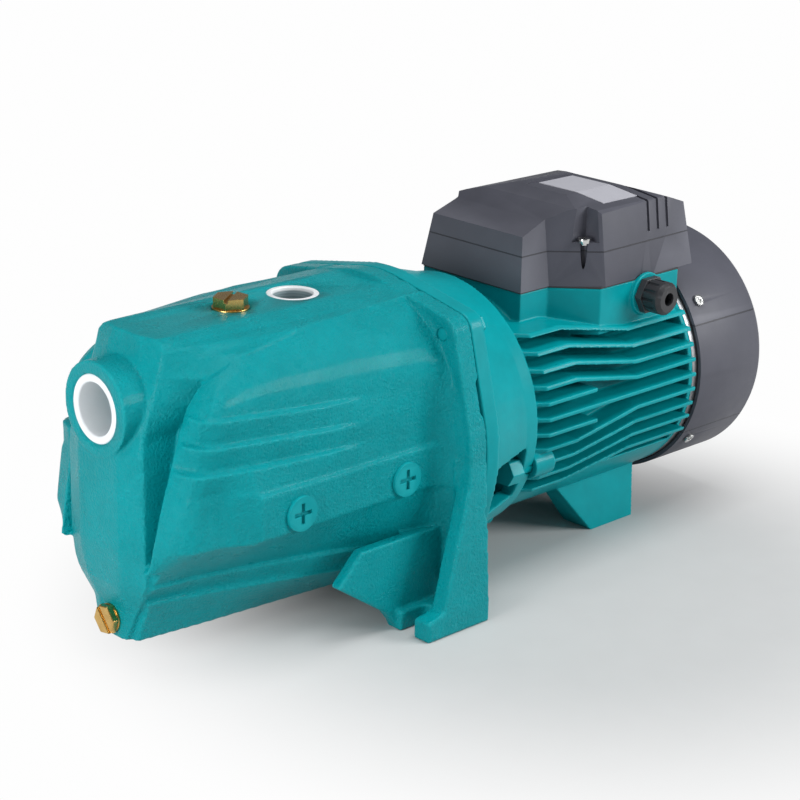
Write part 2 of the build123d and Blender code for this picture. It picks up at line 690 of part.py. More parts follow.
def shaft():
    front_end = x_bearing + front_bearing[2]
    steps = [
        (x_nut - nut_height - 2, x_nut, shaft_impeller - 1),
        (x_nut, x_carbon - 2, shaft_impeller),
        (x_joint - impeller_back, x_joint + 2, shaft_seal),
        (x_joint + 2, x_bearing, shaft_middle),
        (x_bearing, front_end, front_bearing[0] / 2),
        (front_end, x_core, shaft_shoulder),
        (x_core, x_core_end, shaft_core),
        (x_core_end, x_rear_bearing, rear_bearing[0] / 2 + 2.5),
        (x_rear_bearing, x_shield + 6, rear_bearing[0] / 2),
        (x_shield + 6, x_clip + 4, fan_shaft),
    ]
    outline = [(steps[0][0], 0)]
    for x0, x1, radius in steps:
        outline += [(max(x0, outline[-1][0]), radius), (x1, radius)]
    body = turned(outline + [(steps[-1][1], 0)])
    body -= ring(fan_shaft + 1, fan_shaft - clip_depth, x_clip, x_clip + clip_width)
    return body - key_slot(x_joint - impeller_front + 4, x_joint - impeller_back, thread_clearance)


def bearing(name, x, sizes):
    """A deep groove ball bearing: its outer ring, inner ring and balls as three nodes."""
    bore, outside, width = sizes
    height = (outside - bore) / 2
    pitch = (outside + bore) / 4
    ball = ball_share * height
    race = Pos(x + width / 2, 0, axis_height) * Rot(0, 90, 0) * Torus(pitch, ball + running_clearance)
    land = 0.45 * ball
    nodes[name + "_outer_ring"] = ring(outside / 2, pitch + land, x, x + width) - race
    nodes[name + "_inner_ring"] = ring(pitch - land, bore / 2 + thread_clearance, x, x + width) - race
    spots = [around(pitch, 360 / balls * i) for i in range(balls)]
    nodes[name + "_balls"] = Compound(children=[Pos(x + width / 2, y, z) * Sphere(ball) for y, z in spots])


def rotor_core():
    body = ring(rotor_radius, shaft_core + thread_clearance, x_core, x_core_end)
    ends = [ring(rotor_radius - 2, 20, x_core - 6, x_core),
            ring(rotor_radius - 2, 20, x_core_end, x_core_end + 6)]
    return added([body] + ends)


nodes["shaft"] = shaft()
bearing("front_bearing", x_bearing, front_bearing)
bearing("rear_bearing", x_rear_bearing, rear_bearing)
nodes["rotor_core"] = rotor_core()
washer_x = x_rear_bearing - 1.6
nodes["bearing_washer"] = ring(rear_bearing[1] / 2 - 0.5, rear_bearing[1] / 2 - 4, washer_x, x_rear_bearing)


# ---- stator and motor housing ---------------------------------------------------------------
winding_length = 18.0
winding_inner, winding_outer = 40.0, 58.0
slot_count = 24
housing_root = 70.0
fin_radius = 88.0
fin_pitch, fin_offset = 10.4, 5.5
fin_thickness = 2.8
fin_count = 5                  # above and below the middle fin
fin_front, fin_bend, fin_straight = 10.0, 39.0, 98.0   # behind the housing's front
short_fin_end = 57.0
fin_end = 3.0
collar_radius, collar_length = 82.0, 4.0
belly_shell, belly_top = 82.0, 59.0
leg_low = (384.0, 428.0, 24.5, 50.5)         # behind the suction face, and off the middle
leg_high = (354.0, 436.0, 26.0, 42.0)
leg_joint = 37.0
base_front, base_flare, base_wide, base_back = 307.0, 333.0, 358.0, 437.0
base_narrow_half, base_wide_half = 45.0, 70.0
base_low, base_top = 152.0, 184.0
base_wall, base_floor = 4.0, 178.0
gasket = 1.0
gland_setback, gland_height = 402.0, 173.5
gland_thread, gland_boss, gland_boss_height = 9.8, 14.5, 3.0
gland_pocket_floor = 162.5
screw_place = (352.0, 58.0)
screw_radius, screw_head = 2.2, 4.0
label_place = (374.0, 408.0, -54.0, 4.0)
label_thickness = 0.4
shield_screw_circle, shield_screw_radius = 66.0, 2.5
shield_screw_angles = (45, 135, 225, 315)


def stator_core():
    body = ring(housing_bore - thread_clearance, core_bore, x_core, x_core_end)
    slot = block(x_core - 1, x_core_end + 1, core_bore - 1, core_bore + 5, axis_height - 1, axis_height + 1)
    slot += block(x_core - 1, x_core_end + 1, core_bore + 4, winding_outer - 8, axis_height - 2,
                  axis_height + 2)
    return body - [at_angle(slot, 360 / slot_count * i) for i in range(slot_count)]


def windings():
    """The two end windings, each a rounded ring against its end of the core."""
    parts = []
    for x0, x1 in ((x_core - winding_length, x_core), (x_core_end, x_core_end + winding_length)):
        coil = ring(winding_outer, winding_inner, x0, x1)
        parts.append(fillet(coil.edges().filter_by(GeomType.CIRCLE), 4))
    return Compound(children=parts)


def base_plan(inset, z0, z1):
    f, b = x_motor + base_front + inset, x_motor + base_back - inset
    n, w = base_narrow_half - inset, base_wide_half - inset
    return plan_shape(both_plan([(f, n), (x_motor + base_flare, n), (x_motor + base_wide, w), (b, w)]), z0,
                      z1)


def fin(n):
    """One horizontal fin. Beyond the middle three, each shifts one pitch inwards on its way back."""
    front = axis_height + fin_offset + fin_pitch * n
    shift = 0 if n == 0 else fin_pitch * (1 if n > 0 else -1)
    x0, x1, x2, x3 = x_housing + fin_front - 8, x_housing + fin_bend, x_housing + fin_straight, x_shield
    line = [(x0, front), (x1, front), (x2, front - shift), (x3, front - shift)]
    if abs(n) == 1:
        line = [(x0, front), (x_housing + short_fin_end, front)]
    half = fin_thickness / 2
    outline = [(x, z + half) for x, z in line] + [(x, z - half) for x, z in reversed(line)]
    return side_shape(outline, -fin_radius, fin_radius)


def leg():
    """A tapered foot below the shell, wider in X at the top."""
    x0, x1, y0, y1 = leg_low
    low = Pos(x_motor + (x0 + x1) / 2, (y0 + y1) / 2, 0) * Rectangle(x1 - x0, y1 - y0)
    x0, x1, y0, y1 = leg_high
    high = Pos(x_motor + (x0 + x1) / 2, (y0 + y1) / 2, leg_joint) * Rectangle(x1 - x0, y1 - y0)
    return loft([low, high])


def motor_housing():
    fins = added(fin(n) for n in range(-fin_count, fin_count + 1))
    fins &= turned([(x_housing + 2, 0), (x_housing + 2, fin_radius - 6), (x_housing + fin_front, fin_radius),
                    (x_shield - fin_end, fin_radius), (x_shield - fin_end, 0)])
    body = added([
        disc(housing_root, x_housing, x_shield),
        fins,
        disc(collar_radius, x_housing, x_housing + collar_length),
        disc(collar_radius, x_shield - collar_length, x_shield),
        disc(belly_shell, x_housing, x_shield) & block(x_housing, x_shield, -100, 100, 0, belly_top),
        mirrored(leg()),
        base_plan(0, base_low, base_top),
        bar(gland_boss, x_motor + gland_setback, gland_height, -base_wide_half - gland_boss_height,
            -base_wide_half),
    ])
    for angle in bracket_bolt_angles:
        y, z = around(bracket_bolt_circle, angle)
        body += disc(bracket_bolt_radius + 4, x_housing, x_housing + 18, y, z)
    sx, sy = x_motor + screw_place[0], screw_place[1]
    gx = x_motor + gland_setback
    cuts = [
        disc(housing_bore, x_housing - 1, x_shield + 1),
        base_plan(base_wall, base_floor, base_top + 1) - mirrored(post(screw_radius + 3, sx, sy, 0, 300)),
        block(gx - 16, gx + 16, -base_wide_half + base_wall, -44, gland_pocket_floor, base_top + 1),
        post(5, x_motor + 316, 0, axis_height + 50, base_top),
        bar(gland_thread, gx, gland_height, -100, -60),
        mirrored(post(screw_radius, sx, sy, base_top - 18, base_top + 1)),
    ]
    for angle in bracket_bolt_angles:
        y, z = around(bracket_bolt_circle, angle)
        cuts.append(disc(bracket_bolt_radius + thread_clearance, x_housing - 1, x_housing + 16, y, z))
    for angle in shield_screw_angles:
        y, z = around(shield_screw_circle, angle)
        cuts.append(disc(shield_screw_radius + thread_clearance, x_shield - 10, x_shield + 1, y, z))
    return body - cuts


nodes["stator_core"] = stator_core()
nodes["stator_windings"] = windings()
nodes["motor_housing"] = motor_housing()


# ---- rear shield, fan and fan cover ---------------------------------------------------------
shield_thickness = 5.0
shield_radius = 82.0
shield_rim_inner, shield_rim_length = 77.0, 17.0
shield_hub = 27.0
fan_hub, fan_blade_inner, fan_radius = 14.0, 12.0, 70.0
fan_blades = 9
cowl_inner, cowl_outer = 82.8, 85.3
cowl_rear_wall, cowl_corner = 2.5, 5.0
grille_rings = (20.0, 32.0, 44.0, 56.0, 68.0)
grille_slot, grille_spokes, spoke_width = 4.0, 8, 9.0
cowl_screw_setback, cowl_screw_angle = 11.6, 36.0
cowl_screw_radius, cowl_screw_head = 2.0, 4.0


def rear_shield():
    s = x_shield
    body = added([
        disc(shield_radius, s, s + shield_thickness),
        ring(shield_radius, shield_rim_inner, s, s + shield_thickness + shield_rim_length),
        disc(housing_bore - thread_clearance, s - register_depth, s),
        disc(shield_hub, x_rear_bearing - 3, s + shield_thickness),
    ])
    cuts = [
        ring(register_inner, shield_hub, s - register_depth - 1, s),
        disc(rear_bearing[1] / 2 + thread_clearance, x_rear_bearing - 4, x_rear_bearing + rear_bearing[2]),
        disc(fan_shaft + 2.5, s, s + shield_thickness + 1),
    ]
    for angle in shield_screw_angles:
        y, z = around(shield_screw_circle, angle)
        cuts.append(disc(shield_screw_radius + bolt_clearance, s - 1, s + shield_thickness + 1, y, z))
    for angle in cowl_screw_angles:
        cuts.append(cowl_radial(cowl_screw_radius + thread_clearance, shield_rim_inner - 1,
                                shield_radius + 1, angle))
    return body - cuts


def cowl_radial(radius, r0, r1, angle):
    """A radial cylinder where a screw holds the fan cover to the shield's rim."""
    return at_angle(bar(radius, x_cowl + cowl_screw_setback, axis_height, r0, r1), angle)


def fan():
    x0, x1 = x_fan, x_fan + fan_length
    blade = block(x0, x1, fan_blade_inner, fan_radius, axis_height - 1, axis_height + 1)
    body = added([disc(fan_hub, x0, x1), disc(fan_radius - 12, x0, x0 + 2)]
                 + [at_angle(blade, 360 / fan_blades * i) for i in range(fan_blades)])
    return body - disc(fan_shaft + thread_clearance, x0 - 1, x1 + 1)


def fan_cover():
    c, e = x_cowl, x_end
    body = turned([(c, cowl_inner), (c, cowl_outer), (e - cowl_corner, cowl_outer),
                   (e - cowl_corner / 3, cowl_outer - cowl_corner / 3), (e, cowl_outer - cowl_corner),
                   (e, 0),
                   (e - cowl_rear_wall, 0), (e - cowl_rear_wall, cowl_inner - cowl_corner),
                   (e - cowl_rear_wall - cowl_corner, cowl_inner)])
    spokes = added(at_angle(block(e - 10, e + 1, 5, 100, axis_height - spoke_width / 2,
                                  axis_height + spoke_width / 2), 360 / grille_spokes * i)
                   for i in range(grille_spokes))
    slots = added(ring(r + grille_slot / 2, r - grille_slot / 2, e - 10, e + 1) for r in grille_rings)
    cuts = [slots - spokes]
    for angle in cowl_screw_angles:
        cuts.append(cowl_radial(cowl_screw_radius + bolt_clearance, cowl_inner - 1, cowl_outer + 1, angle))
    return body - cuts


def cowl_screw(angle):
    """A cross-recessed screw standing out of the fan cover's side."""
    screw = cowl_radial(cowl_screw_head, cowl_outer, cowl_outer + 2, angle)
    screw += cowl_radial(cowl_screw_radius, shield_rim_inner, cowl_outer, angle)
    x = x_cowl + cowl_screw_setback
    arms = block(x - 2.2, x + 2.2, cowl_outer + 1, cowl_outer + 3, axis_height - 0.5, axis_height + 0.5)
    arms += block(x - 0.5, x + 0.5, cowl_outer + 1, cowl_outer + 3, axis_height - 2.2, axis_height + 2.2)
    return screw - at_angle(arms, angle)


cowl_screw_angles = (180 - cowl_screw_angle, cowl_screw_angle, 180 + cowl_screw_angle, -cowl_screw_angle)
nodes["rear_shield"] = rear_shield()
nodes["shield_screws"] = Compound(children=[
    bolt(x_shield + shield_thickness, x_shield - 8, shield_screw_radius, 8.0, 4.0,
         *around(shield_screw_circle, angle)) for angle in shield_screw_angles])
nodes["fan"] = fan()
nodes["fan_clip"] = ring(10, fan_shaft - clip_depth + thread_clearance, x_clip + thread_clearance,
                         x_clip + clip_width - thread_clearance) - block(
    x_clip - 1, x_clip + 3, -3, 3, axis_height, axis_height + 20)
nodes["fan_cover"] = fan_cover()
nodes["fan_cover_screws"] = Compound(children=[cowl_screw(a) for a in cowl_screw_angles])


# ---- terminal box ---------------------------------------------------------------------------
cover_front, cover_back = 306.0, 453.0
cover_flare, cover_wide = 333.0, 361.0
cover_narrow_half, cover_wide_half, cover_back_half = 46.0, 71.0, 69.0
cover_wall = 2.5
cover_taper = 0.14             # the walls lean in this much per millimetre of height
cover_raise = 2.5              # the far part stands this far above the near part
cover_split = 8.0              # where it begins, off the middle
cover_trim = 1.0               # gap to the fan cover
channel_front, channel_back, channel_floor = 345.0, 359.0, 214.0
channel_side = 53.0
vent_setbacks = (408.0, 418.0, 428.0)
vent_width, vent_depth, vent_low = 3.0, 1.4, 214.0
cover_bottom = base_top + gasket


def cover_plan(inset, z):
    """The cover's outline at a height: narrow in front, flared, then wide."""
    narrow, wide = cover_narrow_half - inset, cover_wide_half - inset
    half = [(x_motor + cover_front + inset, narrow), (x_motor + cover_flare, narrow),
            (x_motor + cover_wide, wide), (x_motor + cover_back - inset, cover_back_half - inset)]
    return Pos(0, 0, z) * make_face(Polyline(*both_plan(half), close=True))


def cover_shape(inset):
    """The cover's solid outside, with tapered walls and a crowned top that is higher on the far side."""
    low, high = cover_bottom - 5, 250
    body = loft([cover_plan(inset - 5 * cover_taper, low),
                 cover_plan(inset + (high - cover_bottom) * cover_taper, high)],
                ruled=True)
    top = [(cover_front, 219), (331, 228), (347, 236), (378, 241.5), (412, 240), (436, 232),
           (cover_back, 226)]
    profile = [(x_motor + s, z - inset) for s, z in top]
    body &= side_shape([(x_front, low), (x_front, 219 - inset)] + profile + [(x_end, 226 - inset),
        (x_end, low)],
                       -80, 80)
    near = [(-80, low), (-80, 219 - inset), (-62, 235 - inset), (-30, 239 - inset),
            (cover_split, 239 - inset)]
    far = [(cover_split, 239 + cover_raise - inset), (40, 233 - inset), (62, 224 - inset),
           (80, 214 - inset), (80, low)]
    return body & front_shape(near + far, x_front, x_end)


def terminal_cover():
    sx, sy = x_motor + screw_place[0], screw_place[1]
    inner = cover_shape(cover_wall) - mirrored(post(screw_radius + 3, sx, sy, 0, 300))
    x0, x1 = x_motor + channel_front, x_motor + channel_back
    channel = block(x0, x1, channel_side, 90, channel_floor, 300)
    inner -= mirrored(block(x0 - cover_wall, x1 + cover_wall, channel_side - cover_wall, 90,
                            channel_floor - cover_wall, 300))
    under = block(x_front, x_end, -90, 90, 0, cover_bottom)
    skin = cover_shape(vent_depth)
    vents = [block(x_motor + s - vent_width / 2, x_motor + s + vent_width / 2, -90, -30, vent_low,
                   300) - skin
             for s in vent_setbacks]
    gx = x_motor + gland_setback
    cuts = [inner, mirrored(channel), under, disc(cowl_outer + cover_trim, x_cowl - cover_trim, x_end),
            bar(gland_boss + 1, gx, gland_height, -90, -base_wide_half + loose_clearance),
            mirrored(post(screw_radius + bolt_clearance, sx, sy, 0, 300))]
    return cover_shape(0) - (cuts + vents)


def cover_screw():
    x, y = x_motor + screw_place[0], screw_place[1]
    screw = post(screw_head, x, y, channel_floor, channel_floor + 3)
    screw += post(screw_radius - thread_clearance, x, y, base_top - 16, channel_floor)
    return screw - block(x - 5, x + 5, y - 0.6, y + 0.6, channel_floor + 1.8, channel_floor + 4)


def gland():
    """The cable gland in the near wall: body, rubber seal and dome nut, open for the cable."""
    x, z, y0 = x_motor + gland_setback, gland_height, -base_wide_half - gland_boss_height
    hexagon_face = Plane.XZ * RegularPolygon(gland_hex / sqrt(3), 6)
    body = Pos(x, y0, z) * extrude(hexagon_face, gland_hex_height, dir=(0, -1, 0))
    body += bar(gland_thread - thread_clearance, x, z, y0, y0 + 10)
    y1 = y0 - gland_hex_height
    body += bar(gland_thread - 0.5, x, z, y1 - 6, y1)
    body -= bar(cable_radius, x, z, y1 - 20, 0)
    body -= bar(cable_radius + 2, x, z, y1 - 20, y1 + 1)
    seal = bar(cable_radius + 2 - thread_clearance, x, z, y1 - 8, y1 + 1 - thread_clearance)
    seal -= bar(cable_radius, x, z, y1 - 20, 0)
    y2 = y1 - gland_nut_length
    nut = bar(gland_nut_radius, x, z, y2, y1 - thread_clearance)
    nut = chamfer(nut.faces().sort_by(Axis.Y)[0].edges(), 2.5)
    nut -= bar(gland_thread - 0.5 + thread_clearance, x, z, y1 - 8 - thread_clearance, 0)
    nut -= bar(cable_radius, x, z, -200, 0)
    flute = bar(1.2, x + gland_nut_radius + 0.5, z, y1 - 9, y1)
    for i in range(12):
        nut -= Pos(x, 0, z) * Rot(0, 30 * i, 0) * Pos(-x, 0, -z) * flute
    return body, seal, nut


gland_hex, gland_hex_height = 23.0, 5.0
gland_nut_radius, gland_nut_length = 11.3, 14.0
cable_radius = 4.5
block_size = (46.0, 28.0, 9.0)
capacitor_radius, capacitor_length = 16.0, 62.0

gasket_shape = base_plan(0, base_top, cover_bottom) - base_plan(base_wall, base_top - 1, cover_bottom + 1)
nodes["terminal_gasket"] = gasket_shape - mirrored(
    post(screw_radius + bolt_clearance, x_motor + screw_place[0], screw_place[1], 0, 300))
nodes["terminal_cover"] = terminal_cover()
nodes["cover_screws"] = Compound(children=[cover_screw(), mirror(cover_screw(), Plane.XZ)])
x_block, y_block = x_motor + 385, -24.0
terminal_block = Pos(x_block, y_block, base_floor + block_size[2] / 2) * Box(*block_size)
studs = []
for offset in (-15, 0, 15):
    terminal_block -= post(3.1, x_block + offset, y_block, base_floor + 3, base_floor + 20)
    stud = post(3.0, x_block + offset, y_block, base_floor + 3, base_floor + 15)
    studs.append(stud + Pos(x_block + offset, y_block, base_floor + 10.5) * extrude(RegularPolygon(4.5, 6),
        2.5))
nodes["terminal_block"] = terminal_block
nodes["terminal_studs"] = Compound(children=studs)
nodes["capacitor"] = disc(capacitor_radius, x_motor + 362, x_motor + 362 + capacitor_length, 26.0,
                          base_floor + capacitor_radius)
nodes["gland_body"], nodes["gland_seal"], nodes["gland_nut"] = gland()
lx0, lx1, ly0, ly1 = label_place
label = cover_shape(-label_thickness) & block(x_motor + lx0, x_motor + lx1, ly0, ly1, 200, 300)
nodes["nameplate"] = label - cover_shape(0)

os.makedirs("parts", exist_ok=True)
for name, shape in nodes.items():
    export_step(shape, f"parts/{name}.step")
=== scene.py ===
import bpy
import json
from math import cos, radians, sin
from mathutils import Matrix, Vector
import numpy as np

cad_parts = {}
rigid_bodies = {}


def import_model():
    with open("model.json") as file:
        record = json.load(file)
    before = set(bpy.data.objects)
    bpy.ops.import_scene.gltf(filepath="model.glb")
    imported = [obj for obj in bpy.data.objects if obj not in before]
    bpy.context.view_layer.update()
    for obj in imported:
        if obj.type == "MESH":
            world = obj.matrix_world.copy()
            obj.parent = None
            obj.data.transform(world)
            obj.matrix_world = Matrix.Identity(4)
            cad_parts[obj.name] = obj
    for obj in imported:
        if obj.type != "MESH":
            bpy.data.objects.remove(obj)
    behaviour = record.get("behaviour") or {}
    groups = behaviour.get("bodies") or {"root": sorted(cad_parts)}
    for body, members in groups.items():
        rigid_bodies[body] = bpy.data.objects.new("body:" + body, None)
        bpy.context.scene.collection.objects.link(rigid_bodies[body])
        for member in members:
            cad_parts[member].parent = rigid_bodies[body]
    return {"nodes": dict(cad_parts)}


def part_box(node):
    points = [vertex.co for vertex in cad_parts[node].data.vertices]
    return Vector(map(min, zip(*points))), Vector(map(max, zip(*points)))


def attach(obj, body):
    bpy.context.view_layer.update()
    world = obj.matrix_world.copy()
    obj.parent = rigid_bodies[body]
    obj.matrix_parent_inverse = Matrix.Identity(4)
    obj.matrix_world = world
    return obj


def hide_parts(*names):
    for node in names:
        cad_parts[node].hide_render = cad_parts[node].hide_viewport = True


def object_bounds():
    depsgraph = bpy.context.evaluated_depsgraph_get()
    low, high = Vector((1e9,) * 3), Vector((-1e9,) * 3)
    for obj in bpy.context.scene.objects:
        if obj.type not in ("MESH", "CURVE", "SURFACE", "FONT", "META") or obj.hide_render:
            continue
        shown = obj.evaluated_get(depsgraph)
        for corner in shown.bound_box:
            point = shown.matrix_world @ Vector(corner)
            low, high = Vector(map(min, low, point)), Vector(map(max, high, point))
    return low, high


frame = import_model()
cad_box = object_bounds()
nodes = frame["nodes"]
in_view = bpy.context.scene.collection.objects


# ---- where the pump is seen from -----------------------------------------------------------------
# The pump stands with its suction end to the left and its gland side towards the viewer, who
# looks slightly down on it through a long lens from about a metre and a half away.
bearing, height_angle, tilt = radians(-44.28), radians(19.04), radians(1.45)
back = Vector((sin(bearing) * cos(height_angle), -cos(bearing) * cos(height_angle), sin(height_angle)))
right = Vector((cos(bearing), sin(bearing), 0.0))
up = back.cross(right)
turned_right = right * cos(tilt) + up * sin(tilt)
turned_up = up * cos(tilt) - right * sin(tilt)
eye = Vector((-0.9427, -0.9499, 0.5714))
viewer = bpy.data.objects.new("viewer", bpy.data.cameras.new("viewer"))
viewer.data.sensor_width = 36.0
viewer.data.lens = 96.5
viewer.data.clip_end = 50.0
viewer.matrix_world = Matrix.Translation(eye) @ Matrix((turned_right, turned_up, back)).transposed().to_4x4()
in_view.link(viewer)
bpy.context.scene.camera = viewer
bpy.context.scene.view_settings.view_transform = "Standard"


# ---- the bench, the room and the lamps -----------------------------------------------------------
# A plain pale bench in a white room. Three soft lamps stand round the pump: a small one close to the suction
# end, a wide one along the gland side and one overhead, so the shadow is faint. Round a middle set where the
# pump's shadow falls, the bench is painted grey as a painted shadow, and it goes over into the room's white
# a little way off.
class Shade:
    """What a material's node gives out, so that sums over a surface are written as sums."""

    def __init__(self, tree, socket):
        self.tree = tree
        self.socket = socket

    def work(self, operation, first, second):
        sum_node = self.tree.nodes.new("ShaderNodeMath")
        sum_node.operation = operation
        for entry, value in zip(sum_node.inputs, (first, second)):
            if isinstance(value, Shade):
                self.tree.links.new(value.socket, entry)
            else:
                entry.default_value = value
        return Shade(self.tree, sum_node.outputs[0])

    def __add__(self, other):
        return self.work("ADD", self, other)

    def __sub__(self, other):
        return self.work("SUBTRACT", self, other)

    def __mul__(self, other):
        return self.work("MULTIPLY", self, other)

    __radd__ = __add__


class Tree:
    """A node tree, whose nodes are all laid by one method."""

    def __init__(self, tree):
        self.tree = tree

    def node(self, kind, settings=(), sockets=(), output=0):
        made = self.tree.nodes.new("ShaderNode" + kind)
        for name, value in dict(settings).items():
            setattr(made, name, value)
        self.feed(made, dict(sockets))
        return Shade(self.tree, made.outputs[output])

    def feed(self, made, sockets):
        for name, value in sockets.items():
            if isinstance(value, Shade):
                self.tree.links.new(value.socket, made.inputs[name])
            else:
                made.inputs[name].default_value = value


class Finish(Tree):
    """A surface finish."""

    def __init__(self, name, **fixed):
        self.material = bpy.data.materials.new(name)
        self.material.use_nodes = True
        super().__init__(self.material.node_tree)
        self.surface = self.tree.nodes["Principled BSDF"]
        self.feed(self.surface, {socket.replace("_", " "): value for socket, value in fixed.items()})


def blended(finish, share, first, second):
    """A colour between two others. The sockets go by number, because their names repeat."""
    return finish.node("Mix", {"data_type": "RGBA"}, {0: share, 6: first, 7: second}, output=2)


# The bench's grey near the pump is a painted shadow, centred off the pump where its shadow falls.
painted_shadow_middle = (0.05, -0.10, 0.0)
painted_shadow_reach, white_reach = 0.13, 0.37        # how far from its middle the bench is grey, and all white
bench_finish = Finish("white_bench", Roughness=0.9)
bench_spot = bench_finish.node("TexCoord", output="Object")
bench_off = bench_finish.node("VectorMath", {"operation": "SUBTRACT"}, {0: bench_spot, 1: painted_shadow_middle})
bench_reach = bench_finish.node("VectorMath", {"operation": "LENGTH"}, {0: bench_off}, output="Value")
bench_far = bench_finish.node("MapRange", {"interpolation_type": "SMOOTHSTEP"},
                              {"Value": bench_reach, "From Min": painted_shadow_reach, "From Max": white_reach})
bench_rays = bench_finish.node("LightPath", output="Is Camera Ray")
bench_mirrored = bench_finish.node("LightPath", output="Is Glossy Ray")
bench_grain = bench_finish.node("TexNoise", {}, {"Vector": bench_spot, "Scale": 40.0})
# The grey is painted shadow, varied a little by noise.
painted_shadow_grey = blended(bench_finish, bench_grain, (0.525, 0.53, 0.53, 1), (0.55, 0.555, 0.555, 1))
bench_finish.feed(bench_finish.surface, {"Base Color": painted_shadow_grey})
bench_glow = bench_finish.node("Emission", {}, {"Color": (0.99, 0.99, 0.99, 1), "Strength": 1.0})
bench_surface = Shade(bench_finish.tree, bench_finish.surface.outputs[0])
bench_mix = bench_finish.node("MixShader", {}, {
    0: bench_far * bench_finish.node("Math", {"operation": "MAXIMUM"}, {0: bench_rays, 1: bench_mirrored}),
    1: bench_surface, 2: bench_glow})
bench_finish.feed(bench_finish.tree.nodes["Material Output"], {"Surface": bench_mix})
bench_mesh = bpy.data.meshes.new("bench")
bench_half = 6
bench_corners = [(x * bench_half, y * bench_half, 0) for x, y in ((-1, -1), (1, -1), (1, 1), (-1, 1))]
bench_mesh.from_pydata(bench_corners, [], [(0, 1, 2, 3)])
bench_mesh.materials.append(bench_finish.material)
bench = bpy.data.objects.new("bench", bench_mesh)
in_view.link(bench)

room = bpy.data.worlds.new("room")
room.use_nodes = True
bpy.context.scene.world = room
room_nodes = Tree(room.node_tree)
room_light = room_nodes.tree.nodes["Background"]
room_nodes.feed(room_light, {"Color": (0.94, 0.97, 1.0, 1.0), "Strength": 0.24})
room_white = room_nodes.node("Background", {}, {"Color": (0.99, 0.99, 0.99, 1.0)})
room_mix = room_nodes.node("MixShader", {}, {
    0: room_nodes.node("LightPath", output="Is Camera Ray"),
    1: Shade(room_nodes.tree, room_light.outputs[0]), 2: room_white})
room_nodes.feed(room_nodes.tree.nodes["World Output"], {"Surface": room_mix})

pump_middle = (0.0, 0.0, 0.11)


def lamp(name, side, lift, distance, wide, high, power, target=pump_middle):
    """A soft lamp at a bearing and height angle round the pump, turned towards it."""
    light = bpy.data.lights.new(name, "AREA")
    light.shape = "RECTANGLE"
    light.size, light.size_y = wide, high
    light.energy = power
    holder = bpy.data.objects.new(name, light)
    away = Vector((sin(radians(side)) * cos(radians(lift)), -cos(radians(side)) * cos(radians(lift)),
                   sin(radians(lift))))
    holder.location = Vector(target) + away * distance
    holder.rotation_euler = away.to_track_quat("Z", "Y").to_euler()
    in_view.link(holder)


lamp("suction_end_lamp", -78, 16, 0.55, 0.3, 0.3, 3.0, (cad_box[0][0], 0.0, pump_middle[2]))
lamp("gland_side_lamp", 38, 22, 1.7, 0.9, 0.5, 21.0)
lamp("overhead_lamp", 0, 78, 1.5, 1.0, 0.8, 13.0)


# ---- pump casing ---------------------------------------------------------------------------------
# Grey iron cast in sand: one hollow piece with the suction nose, the tank, the joint flange and
# two feet. Its faces and bores are machined, and the rest is dipped in thick teal enamel through
# which the sand's grain shows.
def tint(red, green, blue):
    """A colour in 255ths, as a surface's own colour."""
    return tuple((c / 255 / 12.92 if c < 11 else ((c / 255 + 0.055) / 1.055) ** 2.4)
                 for c in (red, green, blue)) + (1.0,)


def mottle(finish, size, detail=2.0, stretch=(1.0, 1.0, 1.0)):
    """Random patches of about this size in metres, from 0 to 1, drawn out where stretch is small."""
    spot = finish.node("TexCoord", output="Object")
    if stretch != (1.0, 1.0, 1.0):
        spot = finish.node("VectorMath", {"operation": "MULTIPLY"}, {0: spot, 1: stretch})
    return finish.node("TexNoise", {}, {"Vector": spot, "Scale": 1 / size, "Detail": detail})


def relief(finish, height, depth):
    """Raised and sunk places, this deep in metres."""
    return finish.node("Bump", {}, {"Height": height, "Distance": depth})


def edge_wear_and_highlight(finish, low=0.505, high=0.56):
    """Where handling and thin cover show, and where edges get a painted highlight: 1 along outer edges, 0
    elsewhere.
    """
    edge = finish.node("NewGeometry", output="Pointiness")
    return finish.node("MapRange", {}, {"Value": edge, "From Min": low, "From Max": high})


def enamel(name, grain, depth, rough, deep=(0, 126, 132), light=(0, 158, 166), thin=(40, 176, 182)):
    """Teal enamel over a casting whose grain shows through it. Its outer edges are lighter, partly as thin
    worn cover and partly as a painted highlight.
    """
    finish = Finish(name, Specular_IOR_Level=0.1, Coat_Roughness=0.1)
    patches = mottle(finish, 0.03, 3.0) * 0.7 + mottle(finish, 0.006, 2.0) * 0.3
    body = blended(finish, patches, tint(*deep), tint(*light))
    # Lighter along outer edges: partly wear where the cover is thin, partly a painted highlight.
    colour = blended(finish, edge_wear_and_highlight(finish) * 0.3, body, tint(*thin))
    sand = mottle(finish, grain, 2.0) * 0.65 + mottle(finish, grain / 3, 2.0) * 0.35
    finish.feed(finish.surface, {
        "Base Color": colour,
        "Roughness": mottle(finish, 0.012) * 0.14 + rough,
        "Coat Weight": mottle(finish, 0.02) * 0.08,
        "Normal": relief(finish, sand, depth),
    })
    return finish


def worked_in(piece):
    """Makes what a piece's modifiers do to it its own mesh."""
    mesh = bpy.data.meshes.new_from_object(piece.evaluated_get(bpy.context.evaluated_depsgraph_get()))
    piece.modifiers.clear()
    piece.data = mesh


def settle(piece, finish, body, slot, *stands_for):
    """Fixes a finished piece: it gets its finish, rides on a body and stands for the solids named."""
    worked_in(piece)
    piece.data.materials.clear()
    piece.data.materials.append(finish.material)
    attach(piece, body)
    if stands_for:
        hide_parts(*stands_for)


